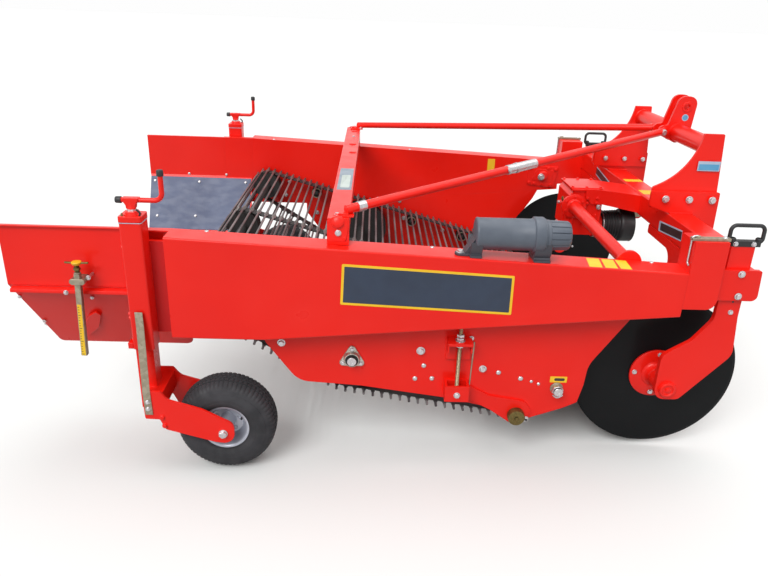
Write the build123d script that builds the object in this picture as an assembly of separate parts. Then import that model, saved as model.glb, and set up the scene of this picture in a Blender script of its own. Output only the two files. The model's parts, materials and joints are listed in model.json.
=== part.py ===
# Two-row potato digger, carried on a three-point hitch: share, rod web, side discs and rear depth wheels.
# Millimetres. +X is forward, +Y is the machine's left, Z = 0 is the floor under the tyres and the share.
# The origin is the middle of the length and width. Right-hand pieces are drawn and mirrored to the left.
from build123d import *
from math import atan2, cos, hypot, pi, radians, sin
import os

os.makedirs("parts", exist_ok=True)

# Clearances and fits
RUNNING = 0.06
SLIDING = 0.6
SHEET_GAP = 1.5

# Overall length and the stations that follow from its two ends
LENGTH = 2760
REAR_X = -LENGTH / 2
FRONT_X = LENGTH / 2
WING_LENGTH = 440
REAR_WALL_LENGTH = 160
NOSE_LENGTH = 360
WING_SEAM_X = REAR_X + WING_LENGTH
BEAM_REAR_X = WING_SEAM_X + REAR_WALL_LENGTH
BEAM_FRONT_X = FRONT_X - NOSE_LENGTH

# Side frame: two hollow sheet beams either side of the web channel
CHANNEL_HALF = 850
BEAM_WIDTH = 105
BEAM_SHEET = 5
BEAM_BEND = 6
BEAM_TOP_REAR = 915
BEAM_TOP_FRONT = 834
BEAM_FOOT_REAR = 538
BEAM_FOOT_FRONT = 668
BEAM_LEVEL_LENGTH = 330
BEAM_KINK_X = BEAM_REAR_X + BEAM_LEVEL_LENGTH
BEAM_OUTER = CHANNEL_HALF + BEAM_WIDTH
BEAM_LENGTH = BEAM_FRONT_X - BEAM_REAR_X
BEAM_MID_Y = CHANNEL_HALF + BEAM_WIDTH / 2

# Lower side plates, which carry the web's rollers and the share
SIDE_PLATE = 8
SIDE_FACE_Y = -CHANNEL_HALF - SIDE_PLATE

# Web: rods riveted on three belts round the rollers
REAR_ROLLER_X = BEAM_REAR_X + 95
IDLER_X = BEAM_REAR_X + BEAM_LENGTH * 638 / 1800
IDLER_R = BEAM_LENGTH / 12
LOW_ROLLER_X = BEAM_FRONT_X - 520
FRONT_ROLLER_X = BEAM_FRONT_X - 372
ROLLERS = [
    # X, Z, radius under the belt
    (REAR_ROLLER_X, 664, 72),
    (IDLER_X, 425, IDLER_R),
    (LOW_ROLLER_X, 194, 26),
    (FRONT_ROLLER_X, 313, 50),
]
BELT = 6
BELT_GAP = 0.4
BELT_WIDTH = 60
BELT_INSET = 70
BELT_YS = (BELT_INSET - CHANNEL_HALF, 0, CHANNEL_HALF - BELT_INSET)
ROD_R = 5.5
ROD_PITCH = 50
ROD_END_GAP = 12
ROLLER_SHAFT_R = 17.5
ROLLER_FLANGE = 8
SUPPORT_XS = (0.2, 0.62, 0.85)
SUPPORT_R = 30

# Bearing housings on the side plates
BEARING_R = 30
BEARING_DEPTH = 26
FLANGE_SHEET = 8
FLANGE_BOLT_PCR = 46
FLANGE_LOBE_R = 16
SHAFT_END = 10

# Rear walls and wings
WALL_SHEET = 5
WALL_LIP = 30
WING_FOLD_Z = 690
WING_FOOT_Z = 385
WING_TUCK_IN = 160
WING_FOOT_CUT = 80
LINER_SHEET = 4
LINER_MARGIN = 20

# Headstock crossbeam, knees and end boxes
CROSSBEAM_SIZE = 100
CROSSBEAM_WALL = 8
CROSSBEAM_X = BEAM_FRONT_X + 130
CROSSBEAM_Z = 795
KNEE_SHEET = 10
KNEE_REACH = 360
KNEE_TOE = 250
KNEE_DEPTH = 38
END_BOX_LENGTH = 118
END_BOX_TOP = 950
END_BOX_FOOT = 700
END_BOX_SHEET = 8
END_BOX_ROUND = 36

# Three-point hitch, category 2
HITCH_SPAN = 825
MAST_SHEET = 12
MAST_Y = HITCH_SPAN / 2 - 1.5 * MAST_SHEET
MAST_BOLT_Z = 957
MAST_BOLT_R = 13
TOP_LINK_Z = 1278
MAST_TOP = TOP_LINK_Z - 56
TOP_LINK_X = FRONT_X - 72
TOP_LINK_BORE_R = 12.8
TOP_LINK_GAP = 52
EAR_SHEET = 14
EAR_R = 46
TOP_TUBE_R = 38
HITCH_Z = 668
HITCH_X = FRONT_X - 37
HITCH_PIN_R = 14
HITCH_PIN_LENGTH = 70
HITCH_THREAD_R = 16
HITCH_BOSS_R = 37

# Cross bar over the web and the stays up to the top link
BAR_X = BEAM_REAR_X + 585
BAR_WIDTH = 76
BAR_DEPTH = 50
BAR_SHEET = 5
BAR_TOP = 985
BAR_END_GAP = 45
STAY_R = 16
STAY_PAD = 12
STAY_EYE_R = 20

# Drive
GEARBOX_X = CROSSBEAM_X - 250
GEARBOX_HALF = 78
GEARBOX_HALF_WIDTH = 95
GEARBOX_FOOT = 690
GEARBOX_TOP = 900
HANGER_SHEET = 10
HANGER_TOP = 8
PTO_Z = 715
STUB_R = 17.4
STUB_LENGTH = 90
JOURNAL_R = 20
SHIELD_LENGTH = 150
SHIELD_MOUTH = 84
SHIELD_R = 78
SHIELD_SHEET = 4
DRIVE_TUBE_R = 26
DRIVE_X = GEARBOX_X - 55
DRIVE_Z = 830

# Share
SHARE_REAR_X = FRONT_ROLLER_X + 74
SHARE_REAR_Z = 335
SHARE_REACH = 428
SHARE_INSET = 115
SHARE_SHEET = 10
SHARE_POINTS = 4
SHARE_NOTCH = 90
SHARE_EDGE = 35
CARRIER_SHEET = 8
CARRIER_FOOT_Z = 246
RIB_REACH = 238

# Side discs and their arms
DISC_R = 320
DISC_X = BEAM_FRONT_X + 35
DISC_Z = 345
DISC_Y = CHANNEL_HALF - 80
DISC_SHEET = 6
DISC_EYE_R = 40
HUB_FLANGE_R = 78
HUB_FLANGE = 10
HUB_R = 38
DISC_AXLE_R = 17.5
SHANK_X = BEAM_FRONT_X + 195
SHANK_Y = CHANNEL_HALF + 42
SHANK_WIDTH = 84
SHANK_SHEET = 20
SHANK_TOP = 921
SHANK_LIFT = 40
CLAMP_FOOT = 722
CLAMP_TOP = 838
CLAMP_WALL = 16
HANDLE_R = 7
HANDLE_HEIGHT = 60

# Rear depth wheels
TOWER_SIZE = 75
TOWER_WALL = 6
TOWER_X = BEAM_REAR_X - 102
TOWER_Y = BEAM_OUTER - 30
TOWER_FOOT_Z = 494
TOWER_TOP_Z = 975
TIE_SHEET = 16
TIE_DROP = 30
LEG_WALL = 5
LEG_TOP_Z = 840
LEG_FOOT_Z = 250
WHEEL_LEAD = 276
WHEEL_X = TOWER_X + WHEEL_LEAD
TYRE_R = 185
TYRE_WIDTH = 150
RIM_R = 88
RIM_WIDTH = 112
RIM_SHEET = 5
WHEEL_HUB_R = 30
WHEEL_AXLE_R = 12.5
FORK_GAP = 10
FORK_SHEET = 10
SCALE_SHEET = 3
SCALE_WIDTH = 27
SCALE_OFFSET = 6
CRANK_REACH = 104
CRANK_Z = 1034
CRANK_ROD_R = 9
CRANK_BEND = 26
GRIP_LENGTH = 86
CAP_R = 11
CAP_LENGTH = 16

# Document tube and web adjusters
DOC_R = 56
DOC_LENGTH = 240
DOC_X = BEAM_FRONT_X - 745
DOC_CAP_LENGTH = 85
DOC_FOOT = 20
SCREW_R = 8
SCREW_X = LOW_ROLLER_X - 243
SCREW_TOP = 575
NUT_R = 15
SHELF_Z = 524
SHOE_Z = 276
BRACKET_HALF = 46
BRACKET_SHEET = 12
ARM_SHEET = 8


def save(node, shape):
    """Write one sub-part as a STEP file named after its node."""
    export_step(shape, f"parts/{node}.step")


def pair(node, right):
    """Save a right-hand piece and its mirror image as two nodes."""
    save(f"{node}_right", right)
    save(f"{node}_left", mirror(right, about=Plane.XZ))


def both(*rights):
    """Right-hand pieces and their mirror images in one compound of separate solids."""
    solids = []
    for right in rights:
        solids += [*right.solids(), *mirror(right, about=Plane.XZ).solids()]
    return Compound(children=solids)


def rounded(corners):
    """A closed 2D outline from corners of (first, second, corner radius), as lines and tangent arcs."""
    turns = []
    count = len(corners)
    for i, (x, z, radius) in enumerate(corners):
        ax, az, _ = corners[i - 1]
        bx, bz, _ = corners[(i + 1) % count]
        a, b = hypot(ax - x, az - z), hypot(bx - x, bz - z)
        ux, uz, vx, vz = (ax - x) / a, (az - z) / a, (bx - x) / b, (bz - z) / b
        if radius == 0:
            turns.append([(x, z)])
            continue
        half = 0.5 * abs(atan2(ux * vz - uz * vx, ux * vx + uz * vz))
        back = radius / (sin(half) / cos(half))
        wx, wz = ux + vx, uz + vz
        reach = (radius / sin(half) - radius) / hypot(wx, wz)
        turns.append([(x + ux * back, z + uz * back), (x + wx * reach, z + wz * reach),
                      (x + vx * back, z + vz * back)])
    curves = []
    for i, turn in enumerate(turns):
        if len(turn) == 3:
            curves.append(ThreePointArc(*turn))
        following = turns[(i + 1) % count][0]
        if hypot(following[0] - turn[-1][0], following[1] - turn[-1][1]) > 0.001:
            curves.append(Line(turn[-1], following))
    return Wire(curves)


def plate_y(corners, y, thickness):
    """A plate parallel to the XZ plane, from y towards +Y, with corners of X, Z and corner radius."""
    return Pos(0, y, 0) * extrude(make_face(Plane.XZ * rounded(corners)), thickness, dir=(0, 1, 0))


def plate_x(corners, x, thickness):
    """A plate parallel to the YZ plane, from x towards +X, with corners of Y, Z and corner radius."""
    return Pos(x, 0, 0) * extrude(make_face(Plane.YZ * rounded(corners)), thickness, dir=(1, 0, 0))


def rod_x(y, z, radius, x0, x1):
    """A round bar along X."""
    return Pos((x0 + x1) / 2, y, z) * Rot(0, 90, 0) * Cylinder(radius, x1 - x0)


def rod_y(x, z, radius, y0, y1):
    """A round bar along Y."""
    return Pos(x, (y0 + y1) / 2, z) * Rot(90, 0, 0) * Cylinder(radius, y1 - y0)


def rod_z(x, y, radius, z0, z1):
    """A round bar along Z."""
    return Pos(x, y, (z0 + z1) / 2) * Cylinder(radius, z1 - z0)


def rod_between(start, end, radius):
    """A round bar between two points."""
    line = Line(start, end)
    return extrude(Plane(origin=start, z_dir=line % 0) * Circle(radius), line.length)


def block(x0, x1, y0, y1, z0, z1):
    """A rectangular block between two corners."""
    return Pos((x0 + x1) / 2, (y0 + y1) / 2, (z0 + z1) / 2) * Box(x1 - x0, y1 - y0, z1 - z0)


def beam_top(x):
    """Height of the beam's top at a station."""
    along = (x - BEAM_REAR_X) / BEAM_LENGTH
    return BEAM_TOP_REAR + along * (BEAM_TOP_FRONT - BEAM_TOP_REAR)


def beam_foot(x):
    """Height of the beam's underside at a station."""
    along = max(0, (x - BEAM_KINK_X) / (BEAM_FRONT_X - BEAM_KINK_X))
    return BEAM_FOOT_REAR + along * (BEAM_FOOT_FRONT - BEAM_FOOT_REAR)


# Side beams
beam_corners = [(x, beam_foot(x), 0) for x in (BEAM_REAR_X, BEAM_KINK_X, BEAM_FRONT_X)]
beam_corners += [(BEAM_FRONT_X, BEAM_TOP_FRONT, 0), (BEAM_REAR_X, BEAM_TOP_REAR, 0)]
beam = plate_y(beam_corners, -BEAM_OUTER, BEAM_WIDTH)
long_edges = [e for e in beam.edges() if abs((e % 0.5).X) > 0.9 and e.center().Y < -BEAM_MID_Y]
beam = fillet(long_edges, BEAM_BEND)
cavity = offset(make_face(Plane.XZ * rounded(beam_corners)), -BEAM_SHEET)
beam -= Pos(0, BEAM_SHEET - BEAM_OUTER, 0) * extrude(cavity, BEAM_WIDTH - 2 * BEAM_SHEET, dir=(0, 1, 0))
rear_x, rear_z, rear_r = ROLLERS[0]
beam -= rod_y(rear_x, rear_z, ROLLER_SHAFT_R + RUNNING, -CHANNEL_HALF - BEAM_SHEET - 1, 1 - CHANNEL_HALF)
pair("side_beam", beam)

# Lower side plates: X, Z, corner radius, from the rear top round the foot to the front top
front_x, front_z, front_r = ROLLERS[3]
low_x, low_z, low_r = ROLLERS[2]
idler_x, idler_z, idler_r = ROLLERS[1]
plate_rear_x = BEAM_KINK_X - 18
plate_corners = [
    (plate_rear_x, beam_foot(plate_rear_x), 0),
    (plate_rear_x, 486, 30),
    (BEAM_KINK_X + 105, 320, 90),
    (idler_x + 32, 305, 0),
    (low_x - 272, 258, 0),
    (low_x - 115, 222, 60),
    (low_x, low_z - 40, 26),
    (front_x + 32, 222, 0),
    (front_x + 88, 250, 14),
    (front_x + 104, 330, 0),
    (front_x + 110, 415, 120),
    (BEAM_FRONT_X - 138, 606, 60),
    (BEAM_FRONT_X - 114, beam_foot(BEAM_FRONT_X - 114), 0),
    (BEAM_KINK_X, BEAM_FOOT_REAR, 0),
]
side_plate = plate_y(plate_corners, SIDE_FACE_Y, SIDE_PLATE)
for x, z, radius in ROLLERS[1:]:
    side_plate -= rod_y(x, z, ROLLER_SHAFT_R + SLIDING, SIDE_FACE_Y - 1, 1 - CHANNEL_HALF)
pair("side_plate", side_plate)

# Bearing housings on the side plates: a three-lobed flange on the idler's shaft, round caps on the others,
# and a bolted cover on the inner face of the left-hand beam
housings = []
for x, z, radius in ROLLERS[1:]:
    housing = rod_y(x, z, BEARING_R, SIDE_FACE_Y - BEARING_DEPTH, SIDE_FACE_Y)
    if x == IDLER_X:
        lobes = [Pos(FLANGE_BOLT_PCR * sin(radians(a)),
                     FLANGE_BOLT_PCR * cos(radians(a))) * Circle(FLANGE_LOBE_R)
                 for a in (0, 120, -120)]
        flange = make_hull(Sketch(children=lobes).edges())
        housing += Pos(x, SIDE_FACE_Y, z) * extrude(Plane.XZ * flange, FLANGE_SHEET, dir=(0, -1, 0))
    housing -= rod_y(x, z, ROLLER_SHAFT_R + RUNNING, SIDE_FACE_Y - BEARING_DEPTH - 1, SIDE_FACE_Y + 1)
    housings.append(housing)
cover_x = BEAM_FRONT_X - 92
cover = plate_y([
    (cover_x - 92, 690, 8), (cover_x + 70, 676, 8), (cover_x + 90, 800, 8), (cover_x - 92, 806, 8),
], CHANNEL_HALF - 6, 6)
cover += rod_y(cover_x, 748, 26, CHANNEL_HALF - 22, CHANNEL_HALF - 6)
save("web_bearings", Compound(children=[*both(*housings).solids(), cover.solid()]))


def web_legs(grow):
    """Straight runs of the web's loop, anticlockwise seen from the right, at a distance outside the rollers."""
    legs = []
    for i, (x1, z1, r1) in enumerate(ROLLERS):
        x2, z2, r2 = ROLLERS[(i + 1) % len(ROLLERS)]
        reach = hypot(x2 - x1, z2 - z1)
        ux, uz = (x2 - x1) / reach, (z2 - z1) / reach
        lean = (r1 - r2) / reach
        square = (1 - lean * lean) ** 0.5
        nx, nz = uz * square + ux * lean, uz * lean - ux * square
        legs.append(((x1 + (r1 + grow) * nx, z1 + (r1 + grow) * nz),
                     (x2 + (r2 + grow) * nx, z2 + (r2 + grow) * nz)))
    return legs


def web_bends(grow):
    """Bends after each straight run: centre X, centre Z, radius, first and last angle."""
    legs = web_legs(grow)
    bends = []
    for i, (start, end) in enumerate(legs):
        x, z, radius = ROLLERS[(i + 1) % len(ROLLERS)]
        after = legs[(i + 1) % len(legs)][0]
        first = atan2(end[1] - z, end[0] - x)
        last = atan2(after[1] - z, after[0] - x)
        if last < first:
            last += 2 * pi
        bends.append((x, z, radius + grow, first, last))
    return bends


def web_face(grow):
    """The loop as a closed face in the XZ plane."""
    curves = []
    for (start, end), (x, z, radius, first, last) in zip(web_legs(grow), web_bends(grow)):
        middle = (first + last) / 2
        finish = (x + radius * cos(last), z + radius * sin(last))
        curves.append(Line(start, end))
        curves.append(ThreePointArc(end, (x + radius * cos(middle), z + radius * sin(middle)), finish))
    return make_face(Plane.XZ * Wire(curves))


def web_stations(grow, pitch):
    """Even stations of X and Z along the loop."""
    runs = []
    for leg, bend in zip(web_legs(grow), web_bends(grow)):
        (x1, z1), (x2, z2) = leg
        runs.append((hypot(x2 - x1, z2 - z1), leg, None))
        runs.append(((bend[4] - bend[3]) * bend[2], None, bend))
    total = sum(run[0] for run in runs)
    count = round(total / pitch)
    stations = []
    for k in range(count):
        s = k * total / count
        for length, leg, bend in runs:
            if s <= length:
                break
            s -= length
        if leg:
            (x1, z1), (x2, z2) = leg
            stations.append((x1 + s / length * (x2 - x1), z1 + s / length * (z2 - z1)))
        else:
            x, z, radius, first, last = bend
            angle = first + s / radius
            stations.append((x + radius * cos(angle), z + radius * sin(angle)))
    return stations


# Web belts
belt_face = web_face(BELT) - web_face(BELT_GAP)
belts = [Pos(0, y - BELT_WIDTH / 2, 0) * extrude(belt_face, BELT_WIDTH, dir=(0, 1, 0)) for y in BELT_YS]
save("web_belts", Compound(children=[belt.solid() for belt in belts]))

# Web rods, drawn with eight flats and seated on the belts
rod_half = CHANNEL_HALF - ROD_END_GAP
rod = Pos(0, -rod_half, 0) * extrude(Plane.XZ * RegularPolygon(ROD_R, 8), 2 * rod_half, dir=(0, 1, 0))
rods = [Pos(x, 0, z) * rod for x, z in web_stations(BELT + ROD_R, ROD_PITCH)]
save("web_rods", Compound(children=[r.solid() for r in rods]))

# Rollers: a shaft through the side plates with a flanged drum under each belt
rollers = []
shaft_half = CHANNEL_HALF + SIDE_PLATE + BEARING_DEPTH + SHAFT_END
for i, (x, z, radius) in enumerate(ROLLERS):
    roller = rod_y(x, z, ROLLER_SHAFT_R, -shaft_half, shaft_half)
    for y in BELT_YS:
        drum_half = BELT_WIDTH / 2 + ROLLER_FLANGE
        drum = rod_y(x, z, radius, y - drum_half, y + drum_half)
        roller += drum
    rollers.append(roller.solid())
save("web_rollers", Compound(children=rollers))

# Support rollers under the rising run, on short studs through the channel's sides
supports = []
(upper_front_x, upper_front_z), (upper_rear_x, upper_rear_z) = web_legs(0)[3]
for along in SUPPORT_XS:
    x = upper_rear_x + along * (upper_front_x - upper_rear_x)
    z = upper_rear_z + along * (upper_front_z - upper_rear_z) - SUPPORT_R - 1
    for y in (BELT_YS[0],):
        support = rod_y(x, z, SUPPORT_R, y - BELT_WIDTH / 2, y + BELT_WIDTH / 2)
        support += rod_y(x, z, 10, -CHANNEL_HALF, y)
        supports.append(support)
save("support_rollers", both(*supports))

# Rear walls: the channel's sides carried back to the seam of the wings
rear_wall_top = BEAM_TOP_REAR
rear_wall = block(WING_SEAM_X, BEAM_REAR_X, -CHANNEL_HALF - WALL_SHEET, -CHANNEL_HALF, BEAM_FOOT_REAR,
                  rear_wall_top)
rear_wall += block(WING_SEAM_X, BEAM_REAR_X, -CHANNEL_HALF - WALL_LIP, -CHANNEL_HALF,
                   rear_wall_top - WALL_SHEET, rear_wall_top)
rear_wall += block(WING_SEAM_X, WING_SEAM_X + WALL_SHEET, -CHANNEL_HALF - WALL_LIP, -CHANNEL_HALF,
                   WING_FOLD_Z, rear_wall_top)
save("rear_walls", both(rear_wall))

# Wings: an upright panel with folded lips, and a lower panel folded in towards the windrow
upper = block(REAR_X, WING_SEAM_X, -CHANNEL_HALF - WALL_SHEET, -CHANNEL_HALF, WING_FOLD_Z - 1,
              rear_wall_top)
upper += block(WING_SEAM_X - WALL_SHEET, WING_SEAM_X, -CHANNEL_HALF - WALL_LIP, -CHANNEL_HALF, WING_FOLD_Z,
               rear_wall_top)
upper += block(REAR_X, WING_SEAM_X, -CHANNEL_HALF - WALL_LIP / 2, -CHANNEL_HALF, rear_wall_top - WALL_SHEET,
               rear_wall_top)
fold_drop = WING_FOLD_Z - WING_FOOT_Z
fold_run = hypot(WING_TUCK_IN, fold_drop)
fold_plane = Plane(
    origin=(0, -CHANNEL_HALF - WALL_SHEET / 2, WING_FOLD_Z), x_dir=(1, 0, 0),
    z_dir=(0, -fold_drop, -WING_TUCK_IN)
)
lower_front_x = BEAM_REAR_X - 10
foot_front_x = BEAM_REAR_X + 5
foot_rear_x = REAR_X + WING_FOOT_CUT
wing_tuck = 2 * WALL_SHEET
lower = extrude(fold_plane * make_face(rounded([
    (REAR_X, 0, 0), (WING_SEAM_X, 0, 0), (WING_SEAM_X, -wing_tuck, 0), (lower_front_x, -wing_tuck, 0),
    (foot_front_x, -fold_run, 30), (foot_rear_x, -fold_run, 20),
])), WALL_SHEET / 2, both=True)
pair("wing", upper + lower)

# Liner plates bolted to the inner face of the folded panels
liner = extrude(fold_plane.offset(-WALL_SHEET / 2) * make_face(rounded([
    (REAR_X + LINER_MARGIN, -wing_tuck - 6, 0), (lower_front_x - 2, -wing_tuck - 6, 0),
    (foot_front_x - LINER_MARGIN, LINER_MARGIN - fold_run, 0),
    (foot_rear_x + LINER_MARGIN, LINER_MARGIN - fold_run, 0),
])), -LINER_SHEET)
save("wing_liners", both(liner))

# Gauge bar on the right-hand wing: a flat scale bar in a clamp
gauge_y = -CHANNEL_HALF - WALL_SHEET
gauge_x = REAR_X + 294
gauge = block(gauge_x - 10, gauge_x + 10, gauge_y - 62, gauge_y - 42, WING_FOOT_Z + 79, rear_wall_top - 110)
gauge += block(gauge_x - 26, gauge_x + 26, gauge_y - 68, gauge_y, 730, 768)
gauge += rod_z(gauge_x, gauge_y - 52, 6, rear_wall_top - 110, rear_wall_top - 75)
gauge += rod_z(gauge_x, gauge_y - 52, 16, rear_wall_top - 75, rear_wall_top - 50)
save("gauge_bar", gauge)

# Crossbeam: a square tube between the end boxes
cb_x1 = CROSSBEAM_X + CROSSBEAM_SIZE
cb_z1 = CROSSBEAM_Z + CROSSBEAM_SIZE
crossbeam = block(CROSSBEAM_X, cb_x1, -CHANNEL_HALF, CHANNEL_HALF, CROSSBEAM_Z, cb_z1)
crossbeam = fillet(crossbeam.edges().filter_by(Axis.Y), CROSSBEAM_WALL)
crossbeam -= block(CROSSBEAM_X + CROSSBEAM_WALL, cb_x1 - CROSSBEAM_WALL, -CHANNEL_HALF - 1,
                   CHANNEL_HALF + 1,
                   CROSSBEAM_Z + CROSSBEAM_WALL, cb_z1 - CROSSBEAM_WALL)
save("crossbeam", crossbeam)

# Knees under the crossbeam: Y, Z, corner radius, seen from behind
knee_inner_y = KNEE_REACH - CHANNEL_HALF
knee_end_y = knee_inner_y + KNEE_TOE
knee = plate_x([
    (-CHANNEL_HALF, CROSSBEAM_Z, 0), (-CHANNEL_HALF, END_BOX_FOOT, 0), (knee_inner_y, END_BOX_FOOT, 6),
    (knee_inner_y, CROSSBEAM_Z - KNEE_DEPTH, 50), (knee_end_y, CROSSBEAM_Z - KNEE_DEPTH, 10),
    (knee_end_y, CROSSBEAM_Z, 0),
], CROSSBEAM_X, KNEE_SHEET)
save("knees", both(knee))

# End boxes at the beams' noses, with the clamp that holds each disc arm's shank
box_x1 = BEAM_FRONT_X + END_BOX_LENGTH
clamp_x1 = SHANK_X + SHANK_WIDTH / 2 + 44
end_box = plate_y([
    (BEAM_FRONT_X, END_BOX_FOOT, 0), (box_x1, END_BOX_FOOT, END_BOX_ROUND), (box_x1, END_BOX_TOP, 0),
    (BEAM_FRONT_X, END_BOX_TOP, 0),
], -BEAM_OUTER, BEAM_WIDTH)
end_box -= block(BEAM_FRONT_X + END_BOX_SHEET, box_x1 - END_BOX_SHEET, END_BOX_SHEET - BEAM_OUTER,
                 -CHANNEL_HALF - END_BOX_SHEET,
                 END_BOX_FOOT + END_BOX_ROUND, END_BOX_TOP - END_BOX_SHEET)
clamp_face_y = -SHANK_Y - SHANK_SHEET / 2 - SLIDING - CLAMP_WALL
end_box += block(box_x1, SHANK_X + SHANK_WIDTH / 2 + CLAMP_WALL, -CHANNEL_HALF - 24, -CHANNEL_HALF,
                 CLAMP_FOOT, cb_z1)
end_box += plate_y([
    (box_x1 - 20, CLAMP_FOOT, 0), (clamp_x1, CLAMP_FOOT, 22), (clamp_x1 - 6, CLAMP_TOP, 8),
    (box_x1 - 20, CLAMP_TOP, 0),
], clamp_face_y, CLAMP_WALL)
for x0 in (box_x1, SHANK_X + SHANK_WIDTH / 2 + SLIDING):
    x1 = SHANK_X - SHANK_WIDTH / 2 - SLIDING if x0 == box_x1 else x0 + CLAMP_WALL
    end_box += block(x0, x1, clamp_face_y + 1, -CHANNEL_HALF - 1, CLAMP_FOOT, CLAMP_TOP)
end_box -= block(SHANK_X - SHANK_WIDTH / 2 - SLIDING, SHANK_X + SHANK_WIDTH / 2 + SLIDING,
                 -SHANK_Y - SHANK_SHEET / 2 - SLIDING,
                 -SHANK_Y + SHANK_SHEET / 2 + SLIDING, CLAMP_FOOT - 1, END_BOX_TOP + 1)
pair("end_box", end_box)

# Latch bars on the end boxes, each with a thin release rod
latch = block(BEAM_FRONT_X - 8, box_x1 + 6, -BEAM_OUTER + 12, -BEAM_OUTER + 36, END_BOX_TOP,
              END_BOX_TOP + 12)
latch += rod_z(BEAM_FRONT_X - 5, -BEAM_OUTER + 24, 4, END_BOX_TOP - 85, END_BOX_TOP + 6)
save("latches", both(latch))

# Mast plates: X, Z, corner radius; bolted inside the hitch cheeks that straddle the crossbeam
mast_inner_y = -MAST_Y + MAST_SHEET / 2
mast_outer_y = -MAST_Y - MAST_SHEET / 2
mast_front_x = FRONT_X - 58
mast_rear_x = FRONT_X - 310
mast_foot = cb_z1 + 20
mast = plate_y([
    (mast_front_x - 82, MAST_TOP, 4), (mast_front_x, MAST_TOP, 4), (mast_front_x + 22, mast_foot, 0),
    (mast_rear_x, mast_foot, 0),
    (mast_rear_x, MAST_TOP - 222, 10), (mast_front_x - 105, MAST_TOP - 150, 260),
], mast_outer_y, MAST_SHEET)
mast_bolt_xs = (FRONT_X - 257, FRONT_X - 159, FRONT_X - 64)
for x in mast_bolt_xs:
    mast += rod_y(x, MAST_BOLT_Z, MAST_BOLT_R, mast_inner_y, mast_inner_y + 11)
pair("mast_plate", mast)

cheek = plate_y([
    (mast_rear_x - 6, MAST_BOLT_Z + 30, 6), (mast_front_x + 26, MAST_BOLT_Z + 30, 6),
    (FRONT_X - 28, CROSSBEAM_Z, 20),
    (FRONT_X, HITCH_Z + HITCH_BOSS_R, 30), (FRONT_X, HITCH_Z - HITCH_BOSS_R, 30),
    (HITCH_X - HITCH_BOSS_R, HITCH_Z - HITCH_BOSS_R, 30),
    (cb_x1, CROSSBEAM_Z, 0), (cb_x1, cb_z1, 0), (CROSSBEAM_X, cb_z1, 0), (mast_rear_x - 6, cb_z1 + 30, 10),
], mast_outer_y - MAST_SHEET, MAST_SHEET)
cheek -= rod_y(HITCH_X, HITCH_Z, HITCH_THREAD_R, mast_outer_y - MAST_SHEET - 1, mast_outer_y + 1)
for x in mast_bolt_xs:
    cheek += rod_y(x, MAST_BOLT_Z, MAST_BOLT_R, mast_outer_y - MAST_SHEET - 9, mast_outer_y - MAST_SHEET)
pair("hitch_cheek", cheek)

# Lower hitch pins, which stand out from the cheeks, each with a nut inside
pin = rod_y(HITCH_X, HITCH_Z, HITCH_PIN_R, -HITCH_SPAN / 2 - HITCH_PIN_LENGTH, -HITCH_SPAN / 2)
pin += rod_y(HITCH_X, HITCH_Z, HITCH_THREAD_R, -HITCH_SPAN / 2, mast_outer_y + 22)
pin += rod_y(HITCH_X, HITCH_Z, HITCH_THREAD_R + 8, mast_outer_y, mast_outer_y + 18)
save("hitch_pins", both(pin))

# Top tube between the mast plates, with two leaning ears for the top link
top_tube_x = TOP_LINK_X - 22
top_tube_z = TOP_LINK_Z - 112
top_tube = rod_y(top_tube_x, top_tube_z, TOP_TUBE_R, mast_inner_y, -mast_inner_y)
ear_corners = [
    (TOP_LINK_X - 108, top_tube_z + 28, 24), (TOP_LINK_X - 70, top_tube_z + 28, 14),
    (TOP_LINK_X - EAR_R, TOP_LINK_Z + 6, 20),
    (TOP_LINK_X - EAR_R + 8, TOP_LINK_Z + EAR_R, 36),
    (TOP_LINK_X + EAR_R, TOP_LINK_Z + EAR_R, 36), (TOP_LINK_X + 34, top_tube_z, 20),
    (top_tube_x, top_tube_z - 50, 20),
    (TOP_LINK_X - 80, top_tube_z - 20, 16), (TOP_LINK_X - 108, top_tube_z - 20, 24),
]
for y in (-TOP_LINK_GAP / 2 - EAR_SHEET, TOP_LINK_GAP / 2):
    top_tube += plate_y(ear_corners, y, EAR_SHEET)
ears_half = TOP_LINK_GAP / 2 + EAR_SHEET
top_tube -= rod_y(TOP_LINK_X, TOP_LINK_Z, TOP_LINK_BORE_R, -ears_half - 1, ears_half + 1)
save("top_link_tube", top_tube)

# Flat-topped bar across the channel, folded from sheet, on a foot at each beam
bar_x0 = BAR_X - BAR_WIDTH / 2
bar_x1 = BAR_X + BAR_WIDTH / 2
bar_half = BEAM_OUTER - BAR_END_GAP
cross_bar = block(bar_x0, bar_x1, -bar_half, bar_half, BAR_TOP - BAR_DEPTH, BAR_TOP)
cross_bar = fillet(cross_bar.edges().filter_by(Axis.Y).group_by(Axis.Z)[-1], 5)
cross_bar -= block(bar_x0 + BAR_SHEET, bar_x1 - BAR_SHEET, BAR_SHEET - bar_half, bar_half - BAR_SHEET,
                   BAR_TOP - BAR_DEPTH - 1, BAR_TOP - BAR_SHEET)
for y0 in (-bar_half, bar_half - 2 * BAR_SHEET):
    foot = block(bar_x0, bar_x1, y0, y0 + 2 * BAR_SHEET, beam_top(bar_x0), BAR_TOP - BAR_SHEET)
    cross_bar += foot
save("cross_bar", cross_bar)

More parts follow.
